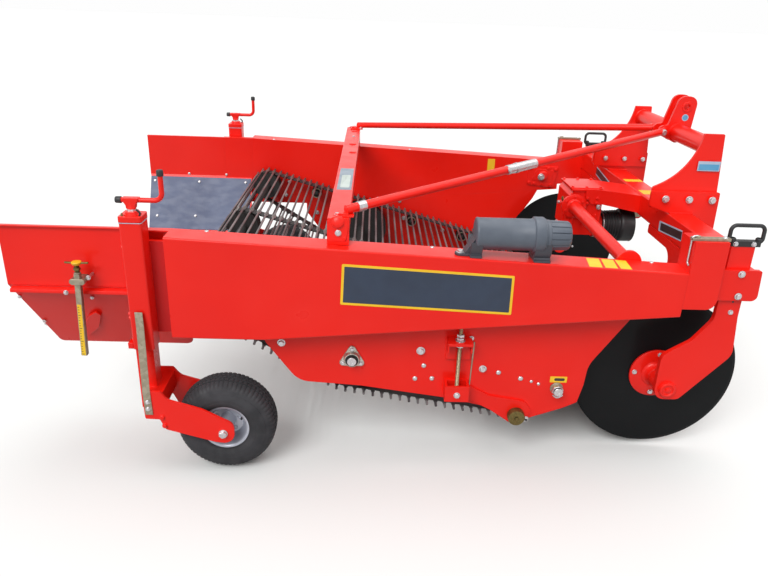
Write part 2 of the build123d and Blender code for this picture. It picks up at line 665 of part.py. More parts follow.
# Stay tubes from the ends of the cross bar up to the top link ears, flattened where they bolt on
stay_eye_x = top_tube_x - TOP_TUBE_R - STAY_EYE_R - 4
stay_start = (BAR_X + 25, -CHANNEL_HALF - 20, BAR_TOP + STAY_R + 4)
stay_end = (stay_eye_x - 8, -ears_half - 14, top_tube_z + 4)
stay = rod_between(stay_start, stay_end, STAY_R)
stay += block(BAR_X - 10, BAR_X + 34, -CHANNEL_HALF - 42, -CHANNEL_HALF + 2, BAR_TOP, BAR_TOP + STAY_PAD)
stay += rod_y(stay_eye_x, top_tube_z + 4, STAY_EYE_R, -ears_half - 14, -ears_half)
stay -= block(0, FRONT_X, -ears_half, 100, 0, 2000)
pair("stay", stay)

# Gearbox: a cast case with its input neck and a side neck, and a folded hanger bolted to the crossbeam
case_x0 = GEARBOX_X - GEARBOX_HALF
case_x1 = GEARBOX_X + GEARBOX_HALF
gearbox = block(case_x0, case_x1, -GEARBOX_HALF_WIDTH, GEARBOX_HALF_WIDTH, GEARBOX_FOOT, GEARBOX_TOP)
gearbox = chamfer(gearbox.edges().filter_by(Axis.Y), 24)
neck_end = case_x1 + 32
gearbox += rod_x(0, PTO_Z, 48, case_x1 - 30, neck_end)
gearbox += rod_x(0, PTO_Z, 60, case_x1 - 2, case_x1 + 10)
gearbox += rod_y(DRIVE_X, DRIVE_Z, 46, -GEARBOX_HALF_WIDTH - 12, 20 - GEARBOX_HALF_WIDTH)
hanger_front_z = cb_z1 - CROSSBEAM_WALL
hanger_bend_x = case_x1 - 24
hanger = plate_y([
    (case_x0 + 8, GEARBOX_TOP, 0), (case_x0 + 8, GEARBOX_TOP + HANGER_TOP, 0),
    (hanger_bend_x, GEARBOX_TOP + HANGER_TOP, 0),
    (CROSSBEAM_X, hanger_front_z, 0), (CROSSBEAM_X, hanger_front_z - HANGER_TOP, 0),
    (hanger_bend_x, GEARBOX_TOP, 0),
], -GEARBOX_HALF_WIDTH - HANGER_SHEET, 2 * (GEARBOX_HALF_WIDTH + HANGER_SHEET))
web = plate_y([
    (DRIVE_X + 50, GEARBOX_TOP + 1, 0), (hanger_bend_x, GEARBOX_TOP + 1, 0),
    (CROSSBEAM_X, hanger_front_z - HANGER_TOP + 1, 0),
    (CROSSBEAM_X, CROSSBEAM_Z + 10, 0), (case_x1, GEARBOX_TOP - 60, 20),
    (DRIVE_X + 80, GEARBOX_TOP - 60, 10),
    (DRIVE_X + 50, GEARBOX_TOP - 24, 10),
], -GEARBOX_HALF_WIDTH - HANGER_SHEET, HANGER_SHEET)
hanger += web + mirror(web, about=Plane.XZ)
gearbox -= rod_x(0, PTO_Z, JOURNAL_R + RUNNING, case_x0 + 30, neck_end + 1)
save("gearbox", Compound(children=[gearbox.solid(), hanger.solid()]))

# Input guard: a ribbed black bellows with a round mouth; distance from the neck's end, outer radius
bellows = [(0, JOURNAL_R * 2), (0, 60), (16, 66), (24, 60), (40, 67), (48, 61), (62, 68),
           (SHIELD_MOUTH, SHIELD_R)]
bore = [(SHIELD_MOUTH, SHIELD_R - SHIELD_SHEET), (SHIELD_SHEET, 56), (SHIELD_SHEET, JOURNAL_R * 2)]
shield = revolve(make_face(Plane.XZ * Polyline(*bellows, *bore, close=True)), Axis.X)
mouth = rod_x(0, 0, SHIELD_R, SHIELD_MOUTH, SHIELD_LENGTH) - rod_x(0, 0, SHIELD_R - SHIELD_SHEET, 0,
                                                                   SHIELD_LENGTH + 1)
save("pto_shield", Pos(neck_end, 0, PTO_Z) * Compound(children=[shield.solid(), mouth.solid()]))
pto_stub = rod_x(0, PTO_Z, JOURNAL_R, case_x0 + 40, neck_end)
pto_stub += rod_x(0, PTO_Z, STUB_R, neck_end, neck_end + STUB_LENGTH)
save("pto_stub", pto_stub)

# Drive tube from the gearbox to the right-hand beam
drive_tube = rod_y(DRIVE_X, DRIVE_Z, DRIVE_TUBE_R, -CHANNEL_HALF, -GEARBOX_HALF_WIDTH - 12)
drive_tube += rod_y(DRIVE_X, DRIVE_Z, DRIVE_TUBE_R + 20, -CHANNEL_HALF, 12 - CHANNEL_HALF)
save("drive_tube", drive_tube)

# Share: a sloping blade with points, on a carrier between the side plates
share_tip_x = SHARE_REAR_X + SHARE_REACH
share_slope = SHARE_REAR_Z / SHARE_REACH
share_length = hypot(SHARE_REAR_Z, SHARE_REACH)
share_half = CHANNEL_HALF - SHARE_INSET
point_pitch = 2 * (share_half - SHARE_EDGE) / SHARE_POINTS
notch_s = share_length - SHARE_NOTCH
blade = [(0, -share_half, 30), (notch_s, -share_half, 0)]
for i in range(SHARE_POINTS):
    left = SHARE_EDGE - share_half + i * point_pitch
    blade += [(notch_s, left, 0), (share_length, left + point_pitch / 2, 0)]
blade += [(notch_s, share_half - SHARE_EDGE, 0), (notch_s, share_half, 0), (0, share_half, 30)]
share_plane = Plane(
    origin=(SHARE_REAR_X, 0, SHARE_REAR_Z), x_dir=(SHARE_REACH, 0, -SHARE_REAR_Z),
    z_dir=(SHARE_REAR_Z, 0, SHARE_REACH)
)
save("share", extrude(share_plane * make_face(rounded(blade)), SHARE_SHEET))


def blade_underside(x):
    """Height of the share's underside at a station."""
    return SHARE_REAR_Z - share_slope * (x - SHARE_REAR_X)


carrier_x1 = SHARE_REAR_X + 6
carrier_x0 = carrier_x1 - CARRIER_SHEET
carrier = plate_y([
    (carrier_x0, CARRIER_FOOT_Z, 0), (carrier_x1, CARRIER_FOOT_Z, 0),
    (carrier_x1, blade_underside(carrier_x1), 0),
    (SHARE_REAR_X, SHARE_REAR_Z, 0), (carrier_x0, SHARE_REAR_Z, 0),
], -CHANNEL_HALF, 2 * CHANNEL_HALF)
save("share_carrier", carrier)
rib_x1 = SHARE_REAR_X + RIB_REACH
rib_corners = [
    (carrier_x1, CARRIER_FOOT_Z, 0), (carrier_x1, blade_underside(carrier_x1), 0),
    (rib_x1, blade_underside(rib_x1), 0),
]
rib_ys = (10 - share_half, -share_half / 3, share_half / 3 - SHARE_SHEET, share_half - 10 - SHARE_SHEET)
save("share_ribs", Compound(children=[plate_y(rib_corners, y, SHARE_SHEET).solid() for y in rib_ys]))

# Disc arms: X, Z, corner radius; a shank in the clamp, swept down and back to the disc's spindle
shank_x0 = SHANK_X - SHANK_WIDTH / 2
shank_x1 = SHANK_X + SHANK_WIDTH / 2
arm = plate_y([
    (shank_x0, SHANK_TOP, 4), (shank_x0, CLAMP_FOOT - SHANK_LIFT - 45, 60), (DISC_X + 55, DISC_Z + 205, 60),
    (DISC_X - 45, DISC_Z + 140, 40), (DISC_X - 45, DISC_Z - 45, 42), (DISC_X + 50, DISC_Z - 45, 30),
    (shank_x1 + 16, DISC_Z + 150, 60),
    (shank_x1, CLAMP_FOOT - SHANK_LIFT - 30, 60), (shank_x1, SHANK_TOP, 4),
], -SHANK_Y - SHANK_SHEET / 2, SHANK_SHEET)
disc_inner_y = -DISC_Y + DISC_SHEET / 2
disc_outer_y = -DISC_Y - DISC_SHEET / 2
arm_inner_y = -SHANK_Y + SHANK_SHEET / 2
arm += rod_y(DISC_X, DISC_Z, DISC_AXLE_R, arm_inner_y - 1, disc_inner_y + 26)
arm += rod_y(DISC_X, DISC_Z, 30, -SHANK_Y - SHANK_SHEET / 2 - 10, -SHANK_Y)
pair("disc_arm", arm)

# D-shaped handles on the shanks, swept from round bar
handle_x0 = SHANK_X - 52
handle_x1 = SHANK_X + 66
handle_z = SHANK_TOP + 14
handle = block(handle_x0 + 8, handle_x1 - 8, -SHANK_Y - 12, -SHANK_Y + 12, SHANK_TOP, SHANK_TOP + 20)
handle_ring = rounded([
    (handle_x0, handle_z, 14), (handle_x1, handle_z, 14), (handle_x1, handle_z + HANDLE_HEIGHT, 20),
    (handle_x0, handle_z + HANDLE_HEIGHT, 20),
])
handle_path = Pos(0, -SHANK_Y, 0) * (Plane.XZ * handle_ring)
handle += sweep(Plane(origin=handle_path @ 0, z_dir=handle_path % 0) * Circle(HANDLE_R), path=handle_path)
pair("disc_handle", handle)

# Discs and their hubs, turning on the arms' spindles
disc = rod_y(DISC_X, DISC_Z, DISC_R, disc_outer_y, disc_inner_y)
disc = chamfer(disc.edges().filter_by(GeomType.CIRCLE).group_by(Axis.Y)[0], DISC_SHEET / 2, 2 * DISC_SHEET)
disc -= rod_y(DISC_X, DISC_Z, DISC_EYE_R, disc_outer_y - 1, disc_inner_y + 1)
pair("disc", disc)
hub = rod_y(DISC_X, DISC_Z, HUB_FLANGE_R, disc_outer_y - HUB_FLANGE, disc_outer_y)
hub += rod_y(DISC_X, DISC_Z, HUB_R, arm_inner_y + 8, disc_inner_y + 32)
hub -= rod_y(DISC_X, DISC_Z, DISC_AXLE_R + RUNNING, arm_inner_y, disc_inner_y + 27)
pair("disc_hub", hub)

# Towers behind the beams, each with a recessed plate to the beam's end
half = TOWER_SIZE / 2
bore = half - TOWER_WALL
tower = block(TOWER_X - half, TOWER_X + half, -TOWER_Y - half, -TOWER_Y + half, TOWER_FOOT_Z, TOWER_TOP_Z)
tower = fillet(tower.edges().filter_by(Axis.Z), 8)
tower -= block(TOWER_X - bore, TOWER_X + bore, -TOWER_Y - bore, -TOWER_Y + bore, TOWER_FOOT_Z - 1,
               TOWER_TOP_Z - TOWER_WALL)
tower -= rod_z(TOWER_X, -TOWER_Y, 16, TOWER_TOP_Z - 20, TOWER_TOP_Z + 1)
tower += block(TOWER_X + half - 1, BEAM_REAR_X, -TOWER_Y + half - TIE_SHEET, -TOWER_Y + half,
               BEAM_FOOT_REAR, BEAM_TOP_REAR - TIE_DROP)
pair("tower", tower)

# Depth cranks: a spindle with a collar, a flared head and a bent rod with a cap on each end
crank_x0 = TOWER_X - 54
crank = rod_z(TOWER_X, -TOWER_Y, 12, TOWER_TOP_Z - 190, CRANK_Z)
crank += rod_z(TOWER_X, -TOWER_Y, 24, TOWER_TOP_Z, TOWER_TOP_Z + 8)
crank += plate_y([
    (TOWER_X - 44, CRANK_Z + 10, 6), (TOWER_X - 44, CRANK_Z - 8, 6), (TOWER_X - 16, TOWER_TOP_Z + 14, 6),
    (TOWER_X + 16, TOWER_TOP_Z + 14, 6),
    (TOWER_X + 44, CRANK_Z - 8, 6), (TOWER_X + 44, CRANK_Z + 10, 6),
], -TOWER_Y - 14, 28)
elbow = cos(pi / 4) * CRANK_BEND
crank_x1 = TOWER_X + CRANK_REACH
crank_line = Wire([
    Line((crank_x0, -TOWER_Y, CRANK_Z), (crank_x1 - CRANK_BEND, -TOWER_Y, CRANK_Z)),
    ThreePointArc((crank_x1 - CRANK_BEND, -TOWER_Y, CRANK_Z),
                  (crank_x1 - CRANK_BEND + elbow, -TOWER_Y, CRANK_Z + CRANK_BEND - elbow),
                  (crank_x1, -TOWER_Y, CRANK_Z + CRANK_BEND)),
    Line((crank_x1, -TOWER_Y, CRANK_Z + CRANK_BEND), (crank_x1, -TOWER_Y, CRANK_Z + GRIP_LENGTH)),
])
crank += sweep(Plane(origin=crank_line @ 0, z_dir=crank_line % 0) * Circle(CRANK_ROD_R), path=crank_line)
save("depth_cranks", both(crank))
cap_end = rod_x(-TOWER_Y, CRANK_Z, CAP_R, crank_x0 - CAP_LENGTH, crank_x0)
cap_top = rod_z(crank_x1, -TOWER_Y, CAP_R, CRANK_Z + GRIP_LENGTH, CRANK_Z + GRIP_LENGTH + CAP_LENGTH)
save("crank_grips", both(cap_end, cap_top))

# Legs: a square tube in the tower, a crosspiece and two swept fork arms with the wheel's axle
leg_half = bore - SLIDING
fork_inner = TYRE_WIDTH / 2 + FORK_GAP
fork_outer = fork_inner + FORK_SHEET
leg = block(TOWER_X - leg_half, TOWER_X + leg_half, -TOWER_Y - leg_half, -TOWER_Y + leg_half, LEG_FOOT_Z,
            LEG_TOP_Z)
leg -= block(TOWER_X - leg_half + LEG_WALL, TOWER_X + leg_half - LEG_WALL, -TOWER_Y - leg_half + LEG_WALL,
             -TOWER_Y + leg_half - LEG_WALL, LEG_FOOT_Z + 20, LEG_TOP_Z + 1)
leg += block(TOWER_X - 5, TOWER_X + 62, -TOWER_Y - fork_inner - 1, -TOWER_Y + fork_inner + 1, 270, 340)
fork_corners = [
    (TOWER_X - 6, 356, 6), (TOWER_X - 2, 242, 6), (TOWER_X + 50, 240, 8), (TOWER_X + 68, 198, 16),
    (WHEEL_X - 30, TYRE_R - 38, 20),
    (WHEEL_X + 42, TYRE_R - 46, 40), (WHEEL_X + 40, TYRE_R + 40, 36), (WHEEL_X - 72, TYRE_R + 100, 60),
    (TOWER_X + 84, 322, 40),
    (TOWER_X + 58, 356, 8),
]
for y in (-TOWER_Y - fork_outer, -TOWER_Y + fork_inner):
    leg += plate_y(fork_corners, y, FORK_SHEET)
leg += rod_y(WHEEL_X, TYRE_R, WHEEL_AXLE_R, -TOWER_Y - fork_outer - 12, -TOWER_Y + fork_outer + 12)
pair("leg", leg)

# Depth scales: a strip up the outside of the tower, cranked out at its foot to the fork
scale_x0 = TOWER_X - 25
scale_x1 = scale_x0 + SCALE_WIDTH
scale_foot_y = -TOWER_Y - fork_outer
scale_y = -TOWER_Y - half - SCALE_OFFSET
scale = block(scale_x0, scale_x1, scale_foot_y - SCALE_SHEET, scale_foot_y, 255, 359)
scale += block(scale_x0, scale_x1, scale_foot_y - SCALE_SHEET, scale_y, 356, 359)
scale += block(scale_x0, scale_x1, scale_y - SCALE_SHEET, scale_y, 356, 645)
pair("depth_scale", scale)

# Rims: a revolved half-section of radius and Y, with drop centre, disc and hub
rim_half = RIM_WIDTH / 2
rim_section = [
    (WHEEL_AXLE_R + RUNNING, -TYRE_WIDTH / 2), (WHEEL_HUB_R, -TYRE_WIDTH / 2), (WHEEL_HUB_R, -12),
    (RIM_R - 24, -12),
    (RIM_R - 24, 4 - rim_half), (RIM_R, -rim_half), (RIM_R, -rim_half + RIM_SHEET),
    (RIM_R - 16, -rim_half + 16),
    (RIM_R - 16, rim_half - 16), (RIM_R, rim_half - RIM_SHEET), (RIM_R, rim_half),
    (RIM_R - 24, rim_half - 4),
    (RIM_R - 24, 2 * RIM_SHEET - 12), (WHEEL_HUB_R, 2 * RIM_SHEET - 12), (WHEEL_HUB_R, TYRE_WIDTH / 2),
    (WHEEL_AXLE_R + RUNNING, TYRE_WIDTH / 2),
]
rim = revolve(make_face(Polyline(*rim_section, close=True)), Axis.Y)
pair("rim", Pos(WHEEL_X, -TOWER_Y, TYRE_R) * rim)

# Tyres: a revolved section, bead to bead, as radius and distance from the tyre's middle
tyre_half = TYRE_WIDTH / 2
shoulder = [(RIM_R, rim_half - 2), (RIM_R + 8, tyre_half - 9), (RIM_R + 22, tyre_half - 1),
            (RIM_R + 40, tyre_half),
            (RIM_R + 60, tyre_half - 3), (TYRE_R - 20, tyre_half - 12), (TYRE_R - 7, tyre_half - 30)]
tyre_section = shoulder + [(TYRE_R, 12), (TYRE_R, -12)] + [(radius, -y) for radius, y in reversed(shoulder)]
tyre = revolve(make_face(Polyline(*tyre_section, close=True)), Axis.Y)
pair("tyre", Pos(WHEEL_X, -TOWER_Y, TYRE_R) * tyre)

# Document tube on the right-hand beam, with a flange ring, a clip and a foot, and its ribbed screw cap
doc_y = -BEAM_MID_Y
doc_z = beam_top(DOC_X) + DOC_FOOT + DOC_R
doc_x1 = DOC_X + DOC_LENGTH
document_tube = rod_x(doc_y, doc_z, DOC_R, DOC_X, doc_x1)
document_tube += rod_x(doc_y, doc_z, DOC_R + 7, doc_x1 - 42, doc_x1 - 6)
for x in (DOC_X + 6, doc_x1 - 30):
    document_tube += block(x - 14, x + 22, doc_y - 40, doc_y + 40, beam_top(x - 14), doc_z - 30)
save("document_tube", document_tube)
document_cap = rod_x(doc_y, doc_z, DOC_R - 4, doc_x1, doc_x1 + DOC_CAP_LENGTH)
for k in range(14):
    a = k * 2 * pi / 14
    document_cap += Pos(doc_x1 + DOC_CAP_LENGTH / 2 + 8, doc_y + (DOC_R - 4) * cos(a),
                        doc_z + (DOC_R - 4) * sin(a)) * Box(
        DOC_CAP_LENGTH - 30, 6, 6)
save("document_cap", document_cap)

# Tension arms: a plate outside each side plate from the adjuster's foot to the low roller
arm_x0 = SCREW_X + BRACKET_HALF + 1
tension_arm = plate_y([
    (arm_x0, 322, 6), (low_x - 110, 276, 40), (low_x + 30, 254, 40), (low_x + 62, 212, 20),
    (low_x + 34, low_z - 38, 24),
    (low_x - 16, low_z - 40, 24), (low_x - 100, 212, 40), (arm_x0, 262, 6),
], SIDE_FACE_Y - ARM_SHEET, ARM_SHEET)
tension_arm -= rod_y(low_x, low_z, BEARING_R, SIDE_FACE_Y - ARM_SHEET - 1, SIDE_FACE_Y + 1)
save("tension_arms", both(tension_arm))

# Web adjusters: a shelf bracket above, a box bracket below and a screw with a nut through both
screw_y = SIDE_FACE_Y - 34
shelf = block(SCREW_X - BRACKET_HALF, SCREW_X + BRACKET_HALF, SIDE_FACE_Y - 62, SIDE_FACE_Y,
              SHELF_Z - BRACKET_SHEET, SHELF_Z)
shelf += block(SCREW_X - BRACKET_HALF, SCREW_X + BRACKET_HALF, SIDE_FACE_Y - BRACKET_SHEET, SIDE_FACE_Y,
               SHELF_Z - 90, SHELF_Z)
for x in (SCREW_X - BRACKET_HALF, SCREW_X + BRACKET_HALF - 6):
    shelf += block(x, x + 6, SIDE_FACE_Y - 52, SIDE_FACE_Y, SHELF_Z - 44, SHELF_Z - 1)
shelf -= rod_z(SCREW_X, screw_y, SCREW_R + RUNNING, SHELF_Z - BRACKET_SHEET - 1, SHELF_Z + 1)
shoe = block(SCREW_X - BRACKET_HALF, SCREW_X + BRACKET_HALF, SIDE_FACE_Y - 58, SIDE_FACE_Y, SHOE_Z,
             SHOE_Z + 66)
shoe -= block(SCREW_X - BRACKET_HALF + 10, SCREW_X + BRACKET_HALF - 10, SIDE_FACE_Y - 50, SIDE_FACE_Y - 10,
              SHOE_Z + 14, SHOE_Z + 67)
save("adjuster_brackets", both(shelf, shoe))
screw = rod_z(SCREW_X, screw_y, SCREW_R, SHOE_Z + 14, SCREW_TOP)
screw += rod_z(SCREW_X, screw_y, NUT_R, SHELF_Z, SHELF_Z + 14)
screw += rod_z(SCREW_X, screw_y, NUT_R - 2, SHOE_Z + 14, SHOE_Z + 28)
save("web_adjusters", both(screw))
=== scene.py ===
import json
from itertools import product
from math import atan2, cos, hypot, pi, radians, sin, tan

import bmesh
import bpy
from mathutils import Matrix, Vector


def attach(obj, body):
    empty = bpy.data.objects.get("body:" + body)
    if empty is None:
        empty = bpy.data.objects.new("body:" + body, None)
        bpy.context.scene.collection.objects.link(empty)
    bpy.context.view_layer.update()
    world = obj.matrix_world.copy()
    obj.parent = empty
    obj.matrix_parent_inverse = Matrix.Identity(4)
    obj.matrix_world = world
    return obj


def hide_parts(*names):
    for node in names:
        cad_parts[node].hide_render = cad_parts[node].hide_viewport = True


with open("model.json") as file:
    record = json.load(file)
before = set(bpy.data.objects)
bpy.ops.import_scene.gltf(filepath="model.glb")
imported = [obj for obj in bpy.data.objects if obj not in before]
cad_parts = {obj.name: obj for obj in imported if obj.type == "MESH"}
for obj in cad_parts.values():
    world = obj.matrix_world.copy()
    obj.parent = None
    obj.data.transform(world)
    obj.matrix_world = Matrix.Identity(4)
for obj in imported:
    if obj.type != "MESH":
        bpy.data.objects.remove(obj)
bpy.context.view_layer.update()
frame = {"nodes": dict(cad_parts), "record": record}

nodes = frame["nodes"]
scene = bpy.context.scene

# Camera: the photograph's position, angles and focal length, the last in widths of the picture
CAMERA_AT = Vector((-0.0869, -3.1504, 1.6696))
CAMERA_YAW, CAMERA_PITCH, CAMERA_ROLL = -0.0247, 0.3954, 0.0349
CAMERA_FOCAL = 687.27 / 768
SENSOR = 36


def photo_camera():
    data = bpy.data.cameras.new("photo_camera")
    data.sensor_width = SENSOR
    data.lens = SENSOR * CAMERA_FOCAL
    camera = bpy.data.objects.new("photo_camera", data)
    camera.matrix_world = (Matrix.Translation(CAMERA_AT) @ Matrix.Rotation(CAMERA_YAW, 4, "Z")
                           @ Matrix.Rotation(pi / 2 - CAMERA_PITCH, 4, "X") @ Matrix.Rotation(CAMERA_ROLL, 4, "Z"))
    scene.collection.objects.link(camera)
    scene.camera = camera


photo_camera()
scene.view_settings.view_transform = "Standard"


# Materials

def linear(r, g, b):
    """An sRGB colour of 0 to 255 as linear RGBA."""
    return tuple((c / 255 / 12.92 if c <= 10 else ((c / 255 + 0.055) / 1.055) ** 2.4) for c in (r, g, b)) + (1,)


def set_up(node, **values):
    """Sets a node's properties and inputs by name."""
    for key, value in values.items():
        if hasattr(node, key):
            setattr(node, key, value)
        else:
            node.inputs[key.replace("_", " ")].default_value = value
    return node


class Shader:
    """A material under construction, in the object's coordinates, with short ways to add and link nodes."""

    def __init__(self, name, metallic, edge):
        self.mat = bpy.data.materials.new(name)
        self.mat.use_nodes = True
        self.tree = self.mat.node_tree
        self.bsdf = set_up(self.tree.nodes["Principled BSDF"], Metallic=metallic)
        self.coords = self.node("ShaderNodeTexCoord").outputs["Object"]
        self.normal = None
        if edge:
            self.bend(self.node("ShaderNodeBevel", samples=3, Radius=edge))

    def node(self, kind, **values):
        return set_up(self.tree.nodes.new(kind), **values)

    def link(self, a, b):
        self.tree.links.new(a, b)

    def bend(self, n):
        """Takes the surface's normal from a node."""
        self.normal = n.outputs["Normal"]
        self.link(self.normal, self.bsdf.inputs["Normal"])

    def noise(self, scale, detail=3.0, stretch=None):
        n = self.node("ShaderNodeTexNoise", Scale=scale, Detail=detail, Roughness=0.5)
        coords = self.coords
        if stretch:
            m = self.node("ShaderNodeMapping", Scale=stretch)
            self.link(coords, m.inputs["Vector"])
            coords = m.outputs["Vector"]
        self.link(coords, n.inputs["Vector"])
        return n.outputs["Fac"]

    def spread(self, value, low, to_min, to_max):
        """Brings a value from the range of low to 1 - low to another, with soft ends."""
        n = self.node("ShaderNodeMapRange", interpolation_type="SMOOTHSTEP", From_Min=low, From_Max=1 - low,
                      To_Min=to_min, To_Max=to_max)
        self.link(value, n.inputs["Value"])
        return n.outputs["Result"]

    def drift(self, scale, detail=3.0, stretch=None, low=0.3):
        return self.spread(self.noise(scale, detail, stretch), low, 0, 1)

    def finish(self, tones, drift, shine, rough, grain, depth, strength, low=0.3):
        """Two tones mixed by a drift, a roughness within a range and a grain; a noise is (scale, detail, stretch)."""
        mix = self.node("ShaderNodeMix", data_type="RGBA")
        self.link(drift, mix.inputs["Factor"])
        mix.inputs[6].default_value, mix.inputs[7].default_value = (linear(*tone) for tone in tones)
        self.link(mix.outputs[2], self.bsdf.inputs["Base Color"])
        self.link(self.spread(self.noise(*shine), low, *rough), self.bsdf.inputs["Roughness"])
        bump = self.node("ShaderNodeBump", Strength=strength, Distance=depth)
        self.link(self.noise(*grain), bump.inputs["Height"])
        if self.normal:
            self.link(self.normal, bump.inputs["Normal"])
        self.bend(bump)
        return self.mat


def painted(name, color, other, roughness=0.32, shine=0.3):
    s = Shader(name, 0.0, 0.0022)
    set_up(s.bsdf, Specular_IOR_Level=shine, Coat_Weight=0.1, Coat_Roughness=0.2)
    rough = (roughness - 0.05, roughness + 0.07)
    return s.finish((color, other), s.drift(2.3), (9, 4), rough, (260, 2), 0.00012, 0.35, 0.2)


def zinc(name, color, other, roughness=0.38, scale=160):
    """Zinc-plated steel, with the flakes of its crystals."""
    s = Shader(name, 0.85, 0.0012)
    flakes = s.node("ShaderNodeTexVoronoi", Scale=scale)
    s.link(s.coords, flakes.inputs["Vector"])
    drift = s.spread(flakes.outputs["Color"], 0, 0, 1)
    return s.finish((color, other), drift, (40, 4), (roughness - 0.08, roughness + 0.12), (600, 2), 0.0001, 0.3)


def plastic(name, color, other, roughness=0.5, grain=900, depth=0.00015):
    s = Shader(name, 0.0, 0.0016)
    rough = (roughness - 0.05, roughness + 0.08)
    return s.finish((color, other), s.drift(14), (30, 3), rough, (grain, 2), depth, 0.5)


def film(name, color, other, roughness=0.42):
    return plastic(name, color, other, roughness, 300, 0.00003)


def surface(name, metallic, edge, tones, drift, *finish):
    """A material of its own kind; drift is the noise of its tones."""
    s = Shader(name, metallic, edge)
    return s.finish(tones, s.drift(*drift), *finish)


M = {
    "red": painted("red_enamel", (238, 29, 15), (231, 25, 13)),
    # a darker red, used only on the cover in the towers' recess: painted shade
    "red_painted_shade": painted("red_enamel_painted_shade", (200, 12, 14), (184, 10, 12), 0.42),
    "black_disc": painted("black_enamel", (7, 8, 10), (10, 11, 13), 0.62, 0.12),
    "zinc": zinc("zinc_plate", (196, 192, 182), (168, 164, 152)),
    "galv": zinc("galvanised_strip", (164, 154, 136), (142, 132, 114), 0.5, 90),
    "bolt": zinc("bolt_zinc", (208, 206, 208), (178, 176, 178), 0.3, 400),
    "brass": zinc("olive_passivate", (120, 106, 62), (96, 84, 50), 0.45, 200),
    "machined": zinc("machined_steel", (176, 174, 170), (160, 158, 154), 0.3, 500),
    "screw": zinc("screw_zinc", (196, 184, 154), (160, 148, 118), 0.36, 300),
    "rivet": zinc("rivet_steel", (120, 112, 104), (84, 76, 70), 0.42, 500),
    "black": plastic("black_moulding", (24, 24, 26), (32, 32, 34), 0.5),
    "grey": plastic("grey_moulding", (88, 95, 106), (78, 85, 96), 0.42),
    "dark_grey": plastic("dark_grey_moulding", (62, 62, 70), (54, 54, 62), 0.45),
    "yellow_knob": plastic("yellow_moulding", (236, 184, 24), (222, 168, 18), 0.45),
    "belt": plastic("belt_rubber", (34, 33, 33), (44, 42, 41), 0.75, 500, 0.0004),
    "navy": film("navy_film", (38, 50, 70), (34, 45, 64)),
    "yellow": film("yellow_film", (244, 200, 42), (238, 188, 34), 0.45),
    "dark_film": film("dark_film", (34, 32, 34), (44, 40, 40)),
    "pale_film": film("pale_film", (176, 196, 214), (160, 184, 206)),
    "blue_film": film("blue_film", (96, 168, 206), (84, 156, 198)),
    "grey_film": film("grey_film", (134, 146, 158), (124, 136, 148), 0.4),
    "white_film": film("white_film", (190, 198, 192), (180, 190, 184), 0.4),
    "tyre": surface("tyre_rubber", 0.0, 0, ((34, 34, 37), (48, 47, 51)), (9, 5),
                    (22, 4), (0.66, 0.88), (320, 3), 0.0006, 0.5),
    "rim": surface("rim_silver", 0.4, 0.0015, ((194, 198, 208), (174, 178, 190)), (12,),
                   (26, 4), (0.3, 0.46), (500, 2), 0.0001, 0.3),
    # dark spring steel with lighter, worn stretches along the rod
    "rod": surface("web_rod_steel", 0.35, 0, ((72, 66, 68), (122, 116, 116)), (26, 4, (1, 0.12, 1), 0.35),
                   (60, 3), (0.32, 0.55), (420, 3), 0.0003, 0.5),
    "liner": surface("liner_sheet", 0.0, 0.001, ((76, 84, 110), (89, 98, 124)), (5, 5),
                     (14, 5, (1, 4, 1)), (0.44, 0.62), (300, 4, (1, 8, 8)), 0.0002, 0.4),
    # bare blade steel, streaked along X by the soil
    "share": surface("share_steel", 0.85, 0.0015, ((112, 107, 102), (140, 135, 130)), (7, 5, (0.3, 2.4, 1), 0.35),
                     (34, 5, (0.1, 1, 1)), (0.32, 0.5), (220, 5), 0.0003, 0.4),
}

SLOT_MATERIAL = {
    "red_paint": "red", "steel_rods": "rod", "worn_steel": "share", "galvanised": "galv", "black_paint": "black_disc",
    "black_plastic": "black", "grey_plastic": "grey", "liner_grey": "liner", "rubber": "tyre", "rim_silver": "rim",
    "black_rubber": "belt", "machined_steel": "machined",
}


def dress_solids():
    """Gives each solid its slot's material; the rollers of the web are rubber."""
    slots = {p["node"]: p["material_slot"] for p in frame["record"]["subparts"]}
    for name, obj in nodes.items():
        material = M["belt" if name == "web_rollers" else SLOT_MATERIAL[slots[name]]]
        if not obj.material_slots:
            obj.data.materials.append(material)
        for s in obj.material_slots:
            s.material = material


dress_solids()

# Places on the right-hand side and directions, in millimetres of the part's frame
MM = 0.001
BEAM_FACE, BEAM_MIDDLE, PLATE_FACE, WALL_FACE = -955, -905, -858, 850
WHEEL = (-606, -925, 185)
DISC_X, DISC_Z = 1055, 345
TOWER_X, TOWER_Y, TOWER_TOP, CRANK_Z = -882, -925, 985, 1034
CROSS_BAR_TOP, PTO_Z = 985, 715
# X, Z and radius of the web's four rollers, which stand for its bearings and the low shaft too
ROLLERS = [(-685, 664, 72), (-142, 425, 150), (500, 194, 26), (648, 313, 50)]
RIGHT, LEFT, UP, FRONT, REAR = (0, -1, 0), (0, 1, 0), (0, 0, 1), (1, 0, 0), (-1, 0, 0)
# the tops of the beams fall towards the front, from here on
BEAM_REAR_X, BEAM_REAR_TOP, BEAM_SLOPE = -780, 915, 0.045
BEAM_UP, BEAM_ALONG = (BEAM_SLOPE, 0, 1), (1, 0, -BEAM_SLOPE)


def beam_top(x):
    return BEAM_REAR_TOP - (x - BEAM_REAR_X) * BEAM_SLOPE


# Mesh tools: everything below is drawn in millimetres and scaled when a piece is done

def place(at, axis=UP, side=None):
    """A frame with its local Z along an axis and its local X towards a side."""
    z = Vector(axis).normalized()
    x = Vector(side or (FRONT if abs(z.x) < 0.9 else LEFT))
    x = (x - z * x.dot(z)).normalized()
    y = z.cross(x)
    return Matrix((*zip(x, y, z, at), (0, 0, 0, 1)))


